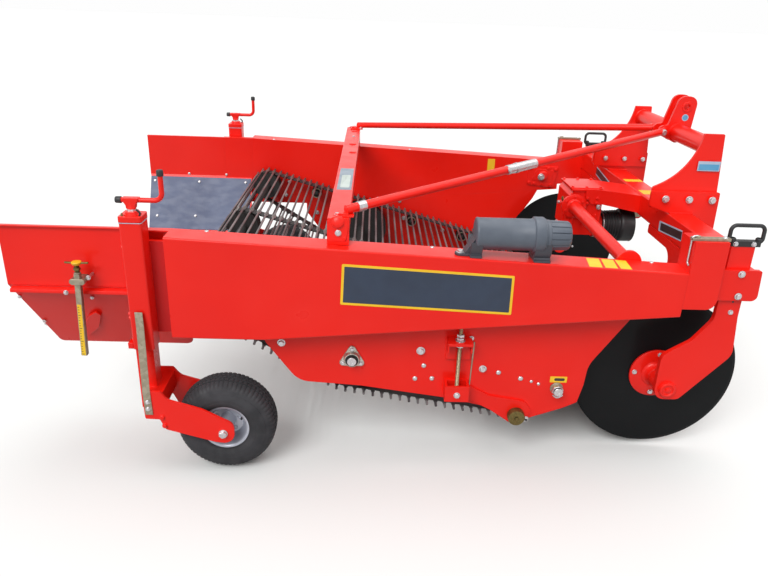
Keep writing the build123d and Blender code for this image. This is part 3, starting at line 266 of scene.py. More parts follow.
def outward(x, z, y=BEAM_FACE):
    """A frame on a face that looks to the machine's right: local X along +X, local Y up, local Z outwards."""
    return place((x, y, z), RIGHT, FRONT)


def shifted(at, x=0, y=0, z=0):
    """A frame moved along its own axes."""
    return at @ Matrix.Translation((x, y, z))


def circle(radius, steps=24, first=0.0):
    return [(radius * cos(2 * pi * k / steps + first), radius * sin(2 * pi * k / steps + first)) for k in range(steps)]


def corner_arc(before, corner, after, radius, steps, most=1.0):
    """Points of the arc that rounds a corner; it takes at most a share of each side."""
    u, v = before - corner, after - corner
    half = u.angle(v) / 2
    back = min(radius / tan(half), most * u.length, most * v.length)
    u, v = u.normalized(), v.normalized()
    centre = corner + (u + v).normalized() * (back / cos(half))
    start, end = corner + u * back - centre, corner + v * back - centre
    sweep, axis = start.angle(end), start.cross(end).normalized()
    return [centre + Matrix.Rotation(sweep * k / steps, 3, axis) @ start for k in range(steps + 1)]


def rounded(corners, steps=5):
    """Points of a closed outline from corners of (a, b, corner radius)."""
    at = [Vector((a, b, 0)) for a, b, _ in corners]
    points = []
    for i, (a, b, radius) in enumerate(corners):
        if radius:
            arc = corner_arc(at[i - 1], at[i], at[(i + 1) % len(at)], radius, steps)
            points += [(p.x, p.y) for p in arc]
        else:
            points.append((a, b))
    return points


def slab(a0, b0, a1, b1, radius, steps=5):
    """A rounded rectangle between two opposite corners."""
    return rounded([(a0, b0, radius), (a1, b0, radius), (a1, b1, radius), (a0, b1, radius)], steps)


def rectangle(width, height, radius=0, steps=4):
    w, h = width / 2, height / 2
    return slab(-w, -h, w, h, radius, steps)


def inset(points, amount):
    """The outline moved inwards by an amount, corner by corner."""
    sharpest = 0.2
    before, after = points[-1:] + points[:-1], points[1:] + points[:1]
    turn = 1 if sum(pa * b - a * pb for (pa, pb), (a, b) in zip(before, points)) > 0 else -1
    moved = []
    for (pa, pb), (a, b), (na, nb) in zip(before, points, after):
        l1, l2 = hypot(a - pa, b - pb) or 1, hypot(na - a, nb - b) or 1
        mx = (-(b - pb) / l1 - (nb - b) / l2) * turn
        my = ((a - pa) / l1 + (na - a) / l2) * turn
        size = mx * mx + my * my
        k = 2 * amount / size if size > sharpest else amount
        moved.append((a + mx * k, b + my * k))
    return moved


def bent(points, radius, steps=6):
    """A path through points with its corners rounded to a radius."""
    at = [Vector(p) for p in points]
    path = at[:1]
    for before, corner, after in zip(at, at[1:], at[2:]):
        path += corner_arc(before, corner, after, radius, steps, 0.49)
    return path + at[-1:]


class Piece:
    """A piece under construction, with a material for each face."""

    def __init__(self):
        self.bm = bmesh.new()
        self.keys = []

    def index(self, key):
        if key not in self.keys:
            self.keys.append(key)
        return self.keys.index(key)

    def mesh(self, points, faces, key, at=None):
        verts = [self.bm.verts.new(at @ Vector(p) if at else p) for p in points]
        m = self.index(key)
        for f in faces:
            self.bm.faces.new([verts[i] for i in f]).material_index = m

    def rings(self, rings, key, at=None, closed=False):
        """Skins a row of rings with the same count of points; a ring of one point is a pole."""
        points, starts = [], []
        for ring in rings:
            starts.append((len(points), len(ring)))
            points += ring
        faces = []
        for (a, n), (b, m) in zip(starts, starts[1:] + starts[:1] if closed else starts[1:]):
            for i in range(max(n, m)):
                j = (i + 1) % max(n, m)
                # a pole gives the same corner twice
                faces.append(tuple(dict.fromkeys((a + i % n, a + j % n, b + j % m, b + i % m))))
        for (first, count), turn in () if closed else ((starts[0], -1), (starts[-1], 1)):
            if count > 2:
                faces.append(tuple(range(first, first + count))[::turn])
        self.mesh(points, faces, key, at)

    def lathe(self, profile, at, key, steps=24, twist=0.0, closed=False):
        """A profile of (radius, height) turned round the frame's Z axis."""
        self.rings([[(a, b, z) for a, b in circle(r, steps, twist)] if r else [(0, 0, z)] for r, z in profile],
                   key, at, closed)

    def prism(self, outline, depth, at, key, bevel=0.0, both=False):
        """An outline in the frame's XY plane carried along its Z axis, with a bevel round its outer face or both."""
        levels = [(outline, 0)]
        if both and bevel:
            levels = [(inset(outline, bevel), 0), (outline, bevel)]
        levels.append((outline, depth - bevel))
        if bevel:
            levels.append((inset(outline, bevel), depth))
        self.rings([[(a, b, z) for a, b in points] for points, z in levels], key, at)

    def tube(self, path, radius, key, steps=12, closed=False):
        """A round bar along a path."""
        path = [Vector(p) for p in path]
        before = (path[-1:] if closed else path[:1]) + path[:-1]
        after = path[1:] + (path[:1] if closed else path[-1:])
        normal = (after[0] - before[0]).normalized().orthogonal()
        rings = []
        for a, p, b in zip(before, path, after):
            t = (b - a).normalized()
            normal = (normal - t * normal.dot(t)).normalized()
            across = t.cross(normal)
            rings.append([tuple(p + (across * a + normal * b) * radius) for a, b in circle(1, steps)])
        self.rings(rings, key, None, closed)

    def box(self, lo, hi, key, bevel=1.5, at=None):
        """A block with chamfered edges."""
        middle = [(a + b) / 2 for a, b in zip(lo, hi)]
        half = [abs(b - a) / 2 for a, b in zip(lo, hi)]
        most = 0.45
        bevel = min(bevel, *(most * h for h in half))
        verts = []
        for signs in product((-1, 1), repeat=3):
            for axis in range(3):
                p = [middle[i] + signs[i] * (half[i] - (0 if i == axis else bevel)) for i in range(3)]
                verts.append(self.bm.verts.new(at @ Vector(p) if at else p))
        m = self.index(key)
        for f in bmesh.ops.convex_hull(self.bm, input=verts)["geom"]:
            if isinstance(f, bmesh.types.BMFace):
                f.material_index = m
        edges = list({e for v in verts for e in v.link_edges})
        bmesh.ops.dissolve_limit(self.bm, angle_limit=0.01, verts=verts, edges=edges)

    def bolt(self, at, axis, d, kind="hex", key="bolt", washer=True, spin=0.2):
        """A screw's head, or a nut with its thread's end, on a washer; d is the thread's diameter."""
        f = place(at, axis)

        def turned(profile, steps, base=0.0, twist=0.0):
            self.lathe([(r * d, base + h * d) for r, h in profile], f, key, steps, twist)

        if kind == "dome":
            turned([(1.12, 0), (1.12, 0.08), (1.02, 0.3), (0.74, 0.5), (0.38, 0.6), (0, 0.62)], 18)
            return
        z = 0.2 * d if washer else 0.0
        if washer:
            turned([(1.12, 0), (1.12, 0.15), (1.06, 0.2), (0.5, 0.2)], 22)
        if kind == "flange":
            turned([(1.18, 0), (1.18, 0.12), (0.9, 0.26), (0.4, 0.26)], 22, z)
            z += 0.2 * d
        turned([(0.93, 0), (0.93, 0.5), (0.8, 0.62), (0.2, 0.62)], 6, z, spin)
        if kind == "nut":
            turned([(0.5, 0.62 - 0.1 / d), (0.5, 0.96), (0.4, 1.06), (0, 1.06)], 12, z)

    def mirrored(self):
        """Adds the mirror image across the machine's middle."""
        geometry = self.bm.verts[:] + self.bm.edges[:] + self.bm.faces[:]
        copy = bmesh.ops.duplicate(self.bm, geom=geometry)["geom"]
        for v in copy:
            if isinstance(v, bmesh.types.BMVert):
                v.co.y = -v.co.y
        bmesh.ops.reverse_faces(self.bm, faces=[f for f in copy if isinstance(f, bmesh.types.BMFace)])

    def make(self, name, body, flip, smooth):
        bm = self.bm.copy()
        if flip:
            for v in bm.verts:
                v.co.y = -v.co.y
            bmesh.ops.reverse_faces(bm, faces=bm.faces[:])
        for v in bm.verts:
            v.co *= MM
        bmesh.ops.recalc_face_normals(bm, faces=bm.faces[:])
        data = bpy.data.meshes.new(name)
        bm.to_mesh(data)
        bm.free()
        for key in self.keys:
            data.materials.append(M[key])
        data.shade_smooth()
        data.set_sharp_from_angle(angle=radians(smooth))
        obj = bpy.data.objects.new(name, data)
        scene.collection.objects.link(obj)
        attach(obj, body)
        return obj

    def done(self, name, slot, sides=None, body="root", replaces=(), smooth=38):
        """Makes the piece; sides is None, both (mirrored into one piece) or pair (a right and a left piece)."""
        if sides == "both":
            self.mirrored()
        for tail in ("_right", "_left") if sides == "pair" else ("",):
            obj = self.make(name + tail, body if body == "root" else body + tail, tail == "_left", smooth)
            for node in replaces:
                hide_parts(node + tail)
        self.bm.free()


# Web: round rods with flattened, riveted eyes on ribbed rubber belts
BELT_YS = (-780, 0, 780)
BELT_THICK, BELT_STEPS, RIB_DEPTH, ROD_RADIUS, ROD_PITCH = 6, 264, 1.6, 5.0, 36


def web_legs(grow):
    """The straight runs between the rollers, moved outwards: start, end and outward direction as (X, Z)."""
    legs = []
    for (x1, z1, r1), (x2, z2, r2) in zip(ROLLERS, ROLLERS[1:] + ROLLERS[:1]):
        reach = hypot(x2 - x1, z2 - z1)
        ux, uz = (x2 - x1) / reach, (z2 - z1) / reach
        lean = (r1 - r2) / reach
        square = (1 - lean * lean) ** 0.5
        nx, nz = uz * square + ux * lean, uz * lean - ux * square
        start, end = ((x + (r + grow) * nx, z + (r + grow) * nz) for x, z, r in ((x1, z1, r1), (x2, z2, r2)))
        legs.append((start, end, (nx, nz)))
    return legs


def web_stations(grow, pitch=None, count=None):
    """Even stations along the loop: X, Z and the outward direction's X, Z."""
    legs = web_legs(grow)
    runs = []
    for leg, after, (x, z, radius) in zip(legs, legs[1:] + legs[:1], ROLLERS[1:] + ROLLERS[:1]):
        (x1, z1), (x2, z2), (nx, nz) = leg
        first = atan2(nz, nx)
        sweep = (atan2(after[2][1], after[2][0]) - first) % (2 * pi)
        runs.append((hypot(x2 - x1, z2 - z1), leg, None))
        runs.append((sweep * (radius + grow), None, (x, z, radius + grow, first)))
    total = sum(run[0] for run in runs)
    count = count or round(total / pitch)
    stations = []
    for k in range(count):
        s = k * total / count
        for length, leg, bend in runs:
            if s <= length:
                break
            s -= length
        if leg:
            (x1, z1), (x2, z2), (nx, nz) = leg
            stations.append((x1 + s / length * (x2 - x1), z1 + s / length * (z2 - z1), nx, nz))
        else:
            x, z, radius, first = bend
            a = first + s / radius
            stations.append((x + radius * cos(a), z + radius * sin(a), cos(a), sin(a)))
    return stations


def rod_sections():
    """Half-width, half-thickness and lift of a rod at each Y: round between the belts, an eye on each belt."""
    sections = [(-838, 3.8, 3.8, 0), (-836.5, 5.0, 5.0, 0)]
    for y in BELT_YS:
        eye = [(34, 5.0, 5.0, 0), (25, 8.6, 3.0, -1.4), (14, 10.0, 2.6, -1.8)]
        sections += [(y - dy, *rest) for dy, *rest in eye] + [(y + dy, *rest) for dy, *rest in reversed(eye)]
    return sections + [(836.5, 5.0, 5.0, 0), (838, 3.8, 3.8, 0)]


def web():
    rods, rivets, belts = Piece(), Piece(), Piece()
    sections = [(y, [(half * a, thick * b + lift) for a, b in circle(1, 12)])
                for y, half, thick, lift in rod_sections()]
    # how far the face of an eye stands out from a rod's middle
    eye_face = 0.6
    for x, z, nx, nz in web_stations(BELT_THICK + ROD_RADIUS, pitch=ROD_PITCH):
        rods.rings([[(x + nz * u + nx * v, y, z - nx * u + nz * v) for u, v in section] for y, section in sections],
                   "rod")
        for y, dy in product(BELT_YS, (-12, 12)):
            f = place((x + nx * eye_face, y + dy, z + nz * eye_face), (nx, 0, nz), LEFT)
            rivets.lathe([(5.6, 0), (5.2, 1.5), (3.6, 2.7), (0, 3.2)], f, "rivet", 10)
    rods.done("web_rod_set", "steel_rods", replaces=["web_rods"])
    rivets.done("web_rivet_set", "steel_rods")
    for y in BELT_YS:
        rings = []
        for k, (x, z, nx, nz) in enumerate(web_stations(BELT_THICK, count=BELT_STEPS)):
            rib = 0.0 if k % 4 < 2 else -RIB_DEPTH
            section = ((-5.6, -28), (rib - 1.2, -30), (rib, -28.5), (rib, 28.5), (rib - 1.2, 30), (-5.6, 28))
            rings.append([(x + nx * out, y + dy, z + nz * out) for out, dy in section])
        belts.rings(rings, "belt", closed=True)
    belts.done("web_belt_set", "black_rubber", replaces=["web_belts"], smooth=30)


web()


# Support wheels under the rising run: a rubber tread on a pressed wheel with a bright rim
def support_wheels():
    wheels = Piece()
    (front_x, front_z), (rear_x, rear_z) = web_legs(0)[3][:2]
    for along in (0.2, 0.62, 0.85):
        x = rear_x + along * (front_x - rear_x)
        z = rear_z + along * (front_z - rear_z) - 31
        f = place((x, BELT_YS[0], z), LEFT)
        wheels.lathe([(24, -30), (27, -30), (30, -27), (30, 27), (27, 30), (24, 30)], f, "belt", 32, closed=True)
        for s in (-1, 1):
            rim = [(28.6, 30 * s), (28.6, 31.5 * s), (23.4, 31.5 * s), (23.4, 30 * s)]
            wheels.lathe(rim, f, "galv", 32, closed=True)
        for k in range(5):
            spoke = f @ Matrix.Rotation(2 * pi * k / 5 + along, 4, "Z")
            wheels.box((8, -3, -20), (25, 3, 20), "belt", 1, spoke)
        wheels.lathe([(10, -70), (10, 26), (12, 26), (12, 33), (9, 35), (0, 35)], f, "belt", 20)
    wheels.done("support_wheel_set", "black_rubber", "both", replaces=["support_rollers"])


support_wheels()


# Tyres: a turf tread of small blocks over the crown, grooved shoulders and moulded rings on the walls
def tyres():
    tyre = Piece()
    steps = 264
    # distance from the middle, radius, and how deep the cross grooves cut there
    half = [(0, 185, 0), (5, 185, 3.0), (5.5, 180.5, 0), (9.5, 180.5, 0), (10, 184.6, 3.2), (24, 184.2, 3.2),
            (24.5, 179, 0), (29, 178.4, 0), (29.5, 182.8, 3.4), (44, 178.6, 3.6), (50, 175, 3.4), (54, 171.5, 3.0),
            (58.5, 166, 2.0), (62, 161.5, 1.4), (63, 158, 0), (67, 150.5, 0), (68.2, 150.6, 0), (71, 142, 0),
            (72.6, 136, 0), (73.6, 132, 0), (74.4, 127, 0), (74.2, 121, 0), (73.4, 116.4, 0), (74.0, 115.6, 0),
            (73.2, 110, 0), (71.6, 104, 0), (68, 98.6, 0), (67.4, 96.6, 0), (63.4, 92.4, 0), (58.4, 89.6, 0),
            (54.5, 87.2, 0)]
    rings = []
    for w, r, groove in [(-w, r, g) for w, r, g in reversed(half[1:])] + half:
        depth, every, start = groove, 4, 2 if abs(w) > 9 else 0
        if 128 < r < 150 and abs(w) > 66:
            depth, every, start = 0.45, 3, 0
        radii = [r - depth if (k + start) % every == 0 else r for k in range(steps)]
        rings.append([(radius * a, radius * b, w) for radius, (a, b) in zip(radii, circle(1, steps))])
    rings += [[(a, b, w) for a, b in circle(86.0, steps)] for w in (54.5, 0, -54.5)]
    tyre.rings(rings, "tyre", place(WHEEL, RIGHT), True)
    tyre.done("tyre_body", "rubber", "pair", "wheel", ["tyre"], 42)


tyres()


# Rims: a pressed disc with five holes and slots, a hub tube, a cap ring and a valve
def rims():
    rim = Piece()
    f = place(WHEEL, RIGHT)
    rim.lathe([(84, 57.5), (88.5, 57.6), (90.5, 55.2), (88, 52), (86.4, 44), (74, 40), (74, -40), (86.4, -44),
               (88, -52), (90.5, -55.2), (88.5, -57.6), (84, -57.5), (81, -50), (79, -44), (68, -38), (68, -14),
               (30, -12), (24, -12), (24, 0), (46, 0), (58, 3), (63, 10), (66, 24), (70, 40), (76, 50), (80, 55)],
              f, "rim", 72, closed=True)
    rim.lathe([(12.56, 75), (24, 75), (26.5, 72.5), (27, 60), (29, 10), (30, -2), (30, -60), (27, -72), (24, -75),
               (12.56, -75)], f, "rim", 40, closed=True)
    for k, ((ax, ay), (bx, by)) in enumerate(zip(circle(44, 5, 0.3), circle(55, 5, 0.93))):
        rim.lathe([(9, -1), (9, 3), (7.6, 4.4), (6.2, 4.4), (6.2, -1)], shifted(f, ax, ay), "rim", 16, closed=True)
        turned = shifted(f, bx, by, 4.4) @ Matrix.Rotation(2 * pi * k / 5 + 0.93, 4, "Z")
        rim.prism(slab(-4, -10, 4, 10, 3), 1.4, turned, "rim", 0.8)
    rim.lathe([(26, 75), (26, 77.4), (13, 77.4), (13, 75)], f, "black", 28, closed=True)
    valve = shifted(f, 62 * cos(0.4), 62 * sin(0.4), 6)
    rim.lathe([(4.5, -6), (4.5, 8), (3.4, 9), (3.4, 22), (4.2, 22), (4.2, 30), (0, 30.5)], valve, "black", 12)
    rim.done("rim_body", "rim_silver", "pair", "wheel", ["rim"], 35)


rims()


# Screws: X, Z and thread of each one on the lower side plate, and the nuts inside it
def side_screws():
    p = Piece()
    for x, z, d in ((-406, 482, 13), (116, 462, 14), (131, 398, 9), (100, 341, 9), (165, 343, 9), (356, 391, 12.5),
                    (418, 375, 9), (505, 351, 9), (548, 339, 6), (577, 329, 6)):
        kind = "dome" if d < 10 else "flange"
        p.bolt((x, PLATE_FACE, z), RIGHT, d, kind, spin=0.3 + x * 0.01)
    p.bolt((544, PLATE_FACE - 8, 176), RIGHT, 9)
    p.done("side_screws", "galvanised", "both")
    q = Piece()
    for x, z, d in ((-406, 482, 11.2), (116, 462, 11.2), (356, 391, 10.4), (648, 311, 10.4)):
        q.bolt((x, -WALL_FACE, z), LEFT, d, "nut")
    q.done("side_nuts", "galvanised", "both")


side_screws()

# Blank plates and patches: thin films on the paintwork, and none on a side that the photo doesn't show
FILM = 0.5


def patch(piece, outline, at, key):
    piece.prism(outline, FILM, at, key, 0.2)


def field(piece, outline, at, key, x=0, y=0, depth=0.3, bevel=0.1):
    """A blank field that stands up from a film."""
    piece.prism(outline, depth, shifted(at, x, y, FILM), key, bevel)


def films():
    p = Piece()
    at = outward(118, 749)
    plate = [(-297, 89), (-302, -63), (301, -87), (299, 61)]
    patch(p, rounded([(a, b, 5) for a, b in plate], 3), at, "yellow")
    field(p, rounded([(a, b, 2) for a, b in inset(plate, 9)], 2), at, "navy", depth=0.35, bevel=0.15)
    # a small patch by the front roller and one on the left wall of the channel
    at = outward(652, 350, PLATE_FACE)
    patch(p, rectangle(66, 26, 2), at, "yellow")
    field(p, rectangle(40, 12, 5), at, "dark_film", 4)
    patch(p, rectangle(42, 78, 2), outward(616, 797, WALL_FACE), "yellow")
    p.done("body_films", "red_paint")
    q = Piece()
    # three slanted patches on the right-hand beam's top
    for middle, half, lean in ((695, 23, 12), (750, 22, 10), (802, 20, 6)):
        at = place((middle, BEAM_MIDDLE, beam_top(middle) + 0.02), BEAM_UP, BEAM_ALONG)
        patch(q, [(lean - half, 44), (-half, -44), (half, -44), (half + lean, 44)], at, "yellow")
    # on the headstock: a dark blank plate with a pale border, two yellow patches, pale ones on the mast
    for side in (-1, 1):
        at = place((1150, 458 * side, 834), REAR, (0, -1, -0.12 * side))
        patch(q, rectangle(226, 44, 3), at, "pale_film")
        field(q, rectangle(208, 32, 2), at, "dark_film", -8 * side, depth=0.35, bevel=0.15)
    for y, height in ((157, 46), (-70, 72)):
        patch(q, rectangle(86, height, 2), place((1200, y, 895), UP, FRONT), "yellow")
    at = outward(1280, 1094, -406.5)
    patch(q, rectangle(92, 40, 2), at, "pale_film")
    field(q, rectangle(82, 24, 2), at, "blue_film", 0, -4)
    at = outward(1308, 1232, -40)
    patch(q, circle(15, 28), at, "pale_film")
    field(q, circle(11, 28), at, "blue_film")
    # the blank grey plate on the cross bar
    at = place((-192, -342, CROSS_BAR_TOP))
    patch(q, rectangle(58, 370, 3), at, "grey_film")
    field(q, slab(-17, -150, 20, 60, 8), at, "white_film")
    q.done("frame_films", "red_paint")


films()


# Document tube: a moulded tube with a flange, a ribbed screw cap, a clip and feet
def document_tube():
    y, middle = -902.5, 943.5
    along = place((275, y, middle), FRONT, LEFT)
    p = Piece()
    p.lathe([(0, 0), (50, 0), (54, 1.2), (56, 4), (56, 9), (55.2, 11), (55.2, 190), (56.6, 193), (56.6, 197),
             (60.5, 198.5), (62.8, 201), (62.8, 231), (61, 233.5), (57, 234.5), (57, 240), (0, 240)],
            along, "grey", 64)
    # feet: saddles under the tube with a flat sole on the beam
    for x0, x1, half in ((258, 300, 44), (478, 536, 46)):
        z = beam_top((x0 + x1) / 2)
        side = [(half, z), (half, z + 7), (half - 10, z + 9), (34, z + 15), (46, z + 34), (50, middle - 18),
                (30, middle - 34)]
        outline = side + [(0, middle - 40)] + [(-a, b) for a, b in reversed(side)]
        p.prism(outline[-1:] + outline[:-1], x1 - x0, place((x0, y, 0), FRONT, LEFT), "dark_grey", 1.6, True)
    # the clip's ear at the rear, bolted to the beam, and the strap up to the tube
    z = beam_top(240)
    ear = rounded([(-44, -20, 18), (26, -16, 4), (26, 16, 4), (-44, 20, 18)])
    p.prism(ear, 8, place((252, y - 12, z + 0.3), BEAM_UP, BEAM_ALONG), "dark_grey", 1.5)
    foot, head, lower = z + 7, middle - 6, middle - 24
    p.mesh([(240, y - 24, foot), (240, y + 22, foot), (278, y + 30, head), (278, y - 30, head),
            (262, y - 22, foot), (262, y + 22, foot), (290, y + 30, lower), (290, y - 30, lower)],
           [(0, 1, 2, 3), (4, 7, 6, 5), (0, 4, 5, 1), (3, 2, 6, 7), (0, 3, 7, 4), (1, 5, 6, 2)], "dark_grey")
    p.done("document_tube_body", "grey_plastic", replaces=["document_tube"])
    b = Piece()
    b.bolt((226, y - 12, beam_top(226) + 8), BEAM_UP, 12)
    b.done("document_tube_bolt", "galvanised")
    c = Piece()
    steps = 126
    # radius, height, and whether the grip's grooves run there
    profile = ((30, 0.2, 0), (52, 0.2, 0), (53.4, 2, 0), (53.6, 12, 0), (52.0, 14, 0), (51.6, 16, 1), (49.6, 76, 1),
               (46.4, 82, 1), (43, 85, 0), (38, 85, 0), (37, 83.6, 0))
    rings = []
    for r, z, ribbed in profile:
        radii = [r + ((-2.4 if k % 9 == 0 else 0.8) if ribbed else 0) for k in range(steps)]
        rings.append([(radius * a, radius * b, z) for radius, (a, b) in zip(radii, circle(1, steps))])
    c.rings(rings + [[(0, 0, 83.6)]], "grey", shifted(along, z=240))
    c.done("document_cap_body", "grey_plastic", replaces=["document_cap"], smooth=30)


document_tube()


# Bearing housings: galvanised three-lobed flanges with a sealed ring, and an olive cap on the low shaft
def bearings():
    (bx, bz), (low_x, low_z), (front_x, front_z) = (roller[:2] for roller in ROLLERS[1:])
    shaft_end = [(17.6, 35.8), (16, 37.4), (6, 37.4), (5, 36.3), (0, 36.3)]
    p = Piece()
    at = outward(bx, bz, PLATE_FACE)
    lobes, screws = [], circle(39, 3, radians(90))
    for k, (a, b) in enumerate(screws):
        for j in range(7):
            turn = radians(90 + 120 * k) - 1.05 + 2.1 * j / 6
            lobes.append((a + 13 * cos(turn), b + 13 * sin(turn)))
    p.prism(lobes, 8, at, "zinc", 2)
    housing = [(32, 7), (30, 12), (29, 20), (27.5, 24), (25, 25), (24.5, 20), (17.6, 20), (17.6, 7)]
    p.lathe(housing, at, "zinc", 48, closed=True)
    p.lathe(shaft_end, at, "bolt", 28)
    p.lathe([(24.4, 19), (24.2, 23.4), (18.2, 23.4), (17.8, 19)], at, "black", 48, closed=True)
    for k, (a, b) in enumerate(screws):
        p.bolt((bx + a, PLATE_FACE - 8, bz + b), RIGHT, 8, spin=0.4 * k)
    # the front roller's bearing: a castle nut with its shaft end in a clip
    at = outward(front_x, front_z, PLATE_FACE)
    p.lathe([(25, 0.2), (25, 5), (23, 7), (17.6, 7), (17.6, 0.2)], at, "galv", 40, closed=True)
    p.lathe([(22, 7), (22, 26), (20, 28), (17.7, 28), (17.7, 7)], at, "bolt", 6, 0.3, closed=True)
    p.lathe(shaft_end, at, "bolt", 28)
    clip = [(front_x + dx, PLATE_FACE - 32, front_z + dz) for dx, dz in ((19, -13), (-2, -27), (-20, -13))]
    p.tube(bent(clip, 12), 2.6, "bolt", 8)
    p.done("web_bearing_set", "galvanised", "both", replaces=["web_bearings"])
    q = Piece()
    cap = [(32, 8.2), (33, 9.4), (33, 33), (31, 37), (24, 38.6), (9, 38.6), (8, 37.4), (0, 37.4)]
    q.lathe(cap, outward(low_x, low_z, PLATE_FACE), "brass", 44)
    q.bolt((low_x, PLATE_FACE - 38.4, low_z), RIGHT, 8, key="brass", washer=False)
    q.bolt((542, PLATE_FACE - 8, 173), RIGHT, 9)
    q.done("shaft_cap_set", "red_paint", "both")
    # a bolted cover with a bearing cap on the inner face of the left beam
    c = Piece()
    x, z, face = 928, 740, 844
    cover = rounded([(-92, -50, 8), (70, -64, 8), (90, 60, 8), (-92, 66, 8)])
    c.prism(cover, WALL_FACE - face, outward(x, z, WALL_FACE), "red", 1.2)
    at = outward(x, z, face)
    c.prism(rounded([(-66, -20, 8), (48, -30, 8), (62, 40, 8), (-40, 48, 20)]), 3, at, "red", 1.0)
    c.lathe([(27, 0), (26, 12), (22, 15.6), (0, 16)], shifted(at, y=8), "red", 36)
    for a, b in ((-78, -36), (-48, -40), (-4, -44), (50, -48), (72, 44), (28, 50), (-78, 52)):
        c.bolt((x + a, face, z + b), RIGHT, 9, key="red")
    c.bolt((913, 828.4, 744), RIGHT, 17, "flange")
    c.done("drive_cover", "red_paint")


bearings()


# Screw adjusters: a threaded rod with nuts through the brackets, and a thin strip beside it
def threaded(piece, x, y, z0, z1, pitch, key):
    """A screw of 16 mm along Z: rings that follow the thread's crest and root."""
    crest = 8
    count = 2 * int((z1 - z0) / pitch)
    rings = [[(x, y, z0)]]
    for i in range(count + 1):
        ring = circle(crest if i % 2 else crest - 0.6 * pitch, 16)
        rings.append([(x + a, y + b, z0 + (z1 - z0) * i / count) for a, b in ring])
    piece.rings(rings + [[(x, y, z1)]], key)


def adjusters():
    p = Piece()
    x, y = 257, -892
    threaded(p, x, y, 290, 575, 2.5, "screw")
    for z, r in ((524, 15), (538.5, 15), (498, 14), (290, 13)):
        nut = [(8, 0), (r - 1.4, 0), (r, 1.6), (r, 11.4), (r - 1.4, 13), (8, 13)]
        p.lathe(nut, place((x, y, z)), "bolt", 6, 0.3, closed=True)
    p.lathe([(8.2, 0), (19, 0), (19, 2), (8.2, 2)], place((x, y, 524.2)), "bolt", 28, closed=True)
    p.bolt((x, -916, 305), RIGHT, 11)
    p.bolt((302, -862, 520), RIGHT, 9)
    p.done("adjuster_screws", "galvanised", "both", replaces=["web_adjusters"])
    s = Piece()
    s.prism([(-8, -104), (-4, -104), (2, 102), (-4, 102)], 3, outward(316, 402, PLATE_FACE - 0.2), "galv", 0.5)
    s.done("adjuster_strips", "galvanised", "both")


adjusters()

# Gauge bar on the right-hand wing: a sliding scale bar in a bolted clamp under a yellow knob
GAUGE_Y, GAUGE_TOP, GAUGE_LOW = -907, (-1104, 730), (-1118, 440)
GAUGE_LEAN = (GAUGE_TOP[0] - GAUGE_LOW[0]) / (GAUGE_TOP[1] - GAUGE_LOW[1])


def gauge_x(z):
    return GAUGE_TOP[0] + (z - GAUGE_TOP[1]) * GAUGE_LEAN


def gauge_at(z):
    return place((gauge_x(z), GAUGE_Y, z), (GAUGE_LEAN, 0, 1), (1, 0, -GAUGE_LEAN))


def gauge():
    p = Piece()
    p.prism(rectangle(21, 21, 3), 318, gauge_at(440), "galv", 1)
    # the clamp, with rounded shoulders, and its foot on the wing
    x = gauge_x(738)
    shoulders = rounded([(-27, -12, 3), (-19, -19, 4), (19, -19, 4), (27, -12, 3), (27, 3, 9), (-27, 3, 9)])
    p.prism(shoulders, 28, outward(x, 738, GAUGE_Y + 14), "galv", 1.5)
    p.box((x - 17, -898, 727), (x + 17, -855.3, 737), "galv", 1.5)
    p.bolt((x + 33, -898, 740), RIGHT, 8)
    p.tube([(x + 33, -855, 740), (x + 33, -898, 740)], 5, "bolt", 12)
    p.lathe([(9, 0), (12, 1.5), (12, 4), (9, 6)], gauge_at(758), "galv", 24)
    p.done("gauge_bar_body", "galvanised", replaces=["gauge_bar"])
    n = Piece()
    threaded(n, gauge_x(780), GAUGE_Y, 758, 792, 2.4, "brass")
    n.lathe([(8.2, 0), (11, 1), (12.4, 6), (11, 11), (8.2, 12)], gauge_at(770), "brass", 20)
    n.done("gauge_neck", "galvanised")
    k = Piece()
    x = gauge_x(800)
    knob = [(0, 790), (11, 790), (14, 792), (17, 797), (17.6, 800), (16, 803), (8, 804.4), (0, 804.6)]
    k.lathe(knob, place((x, GAUGE_Y, 0)), "yellow_knob", 28)
    k.done("gauge_knob", "galvanised")
    w = Piece()
    for s in (-1, 1):
        wing = rounded([(-6, -3, 2.5), (6, -3, 2.5), (3, 3, 2), (-3, 3, 2)])
        w.prism(wing, 26, place((x + s * 15, GAUGE_Y, 798), (s, 0, 0.05), LEFT), "brass", 1)
    w.done("gauge_wings", "galvanised")
    f = Piece()
    length, middle = 203, 542.5
    face = place((gauge_x(middle), GAUGE_Y - 10.52, middle), RIGHT, (1, 0, -GAUGE_LEAN))
    f.prism(rectangle(15, length, 1), FILM, face, "yellow", 0.15)
    # a mark every 10.4 mm, each fifth one longer
    for i in range(19):
        wide = 9 if i % 5 == 0 else 5
        f.prism(rectangle(wide, 2.2), 0.25, shifted(face, wide / 2 - 6, -96 + i * 10.4, FILM), "dark_film")
    f.done("gauge_scale", "galvanised")


gauge()


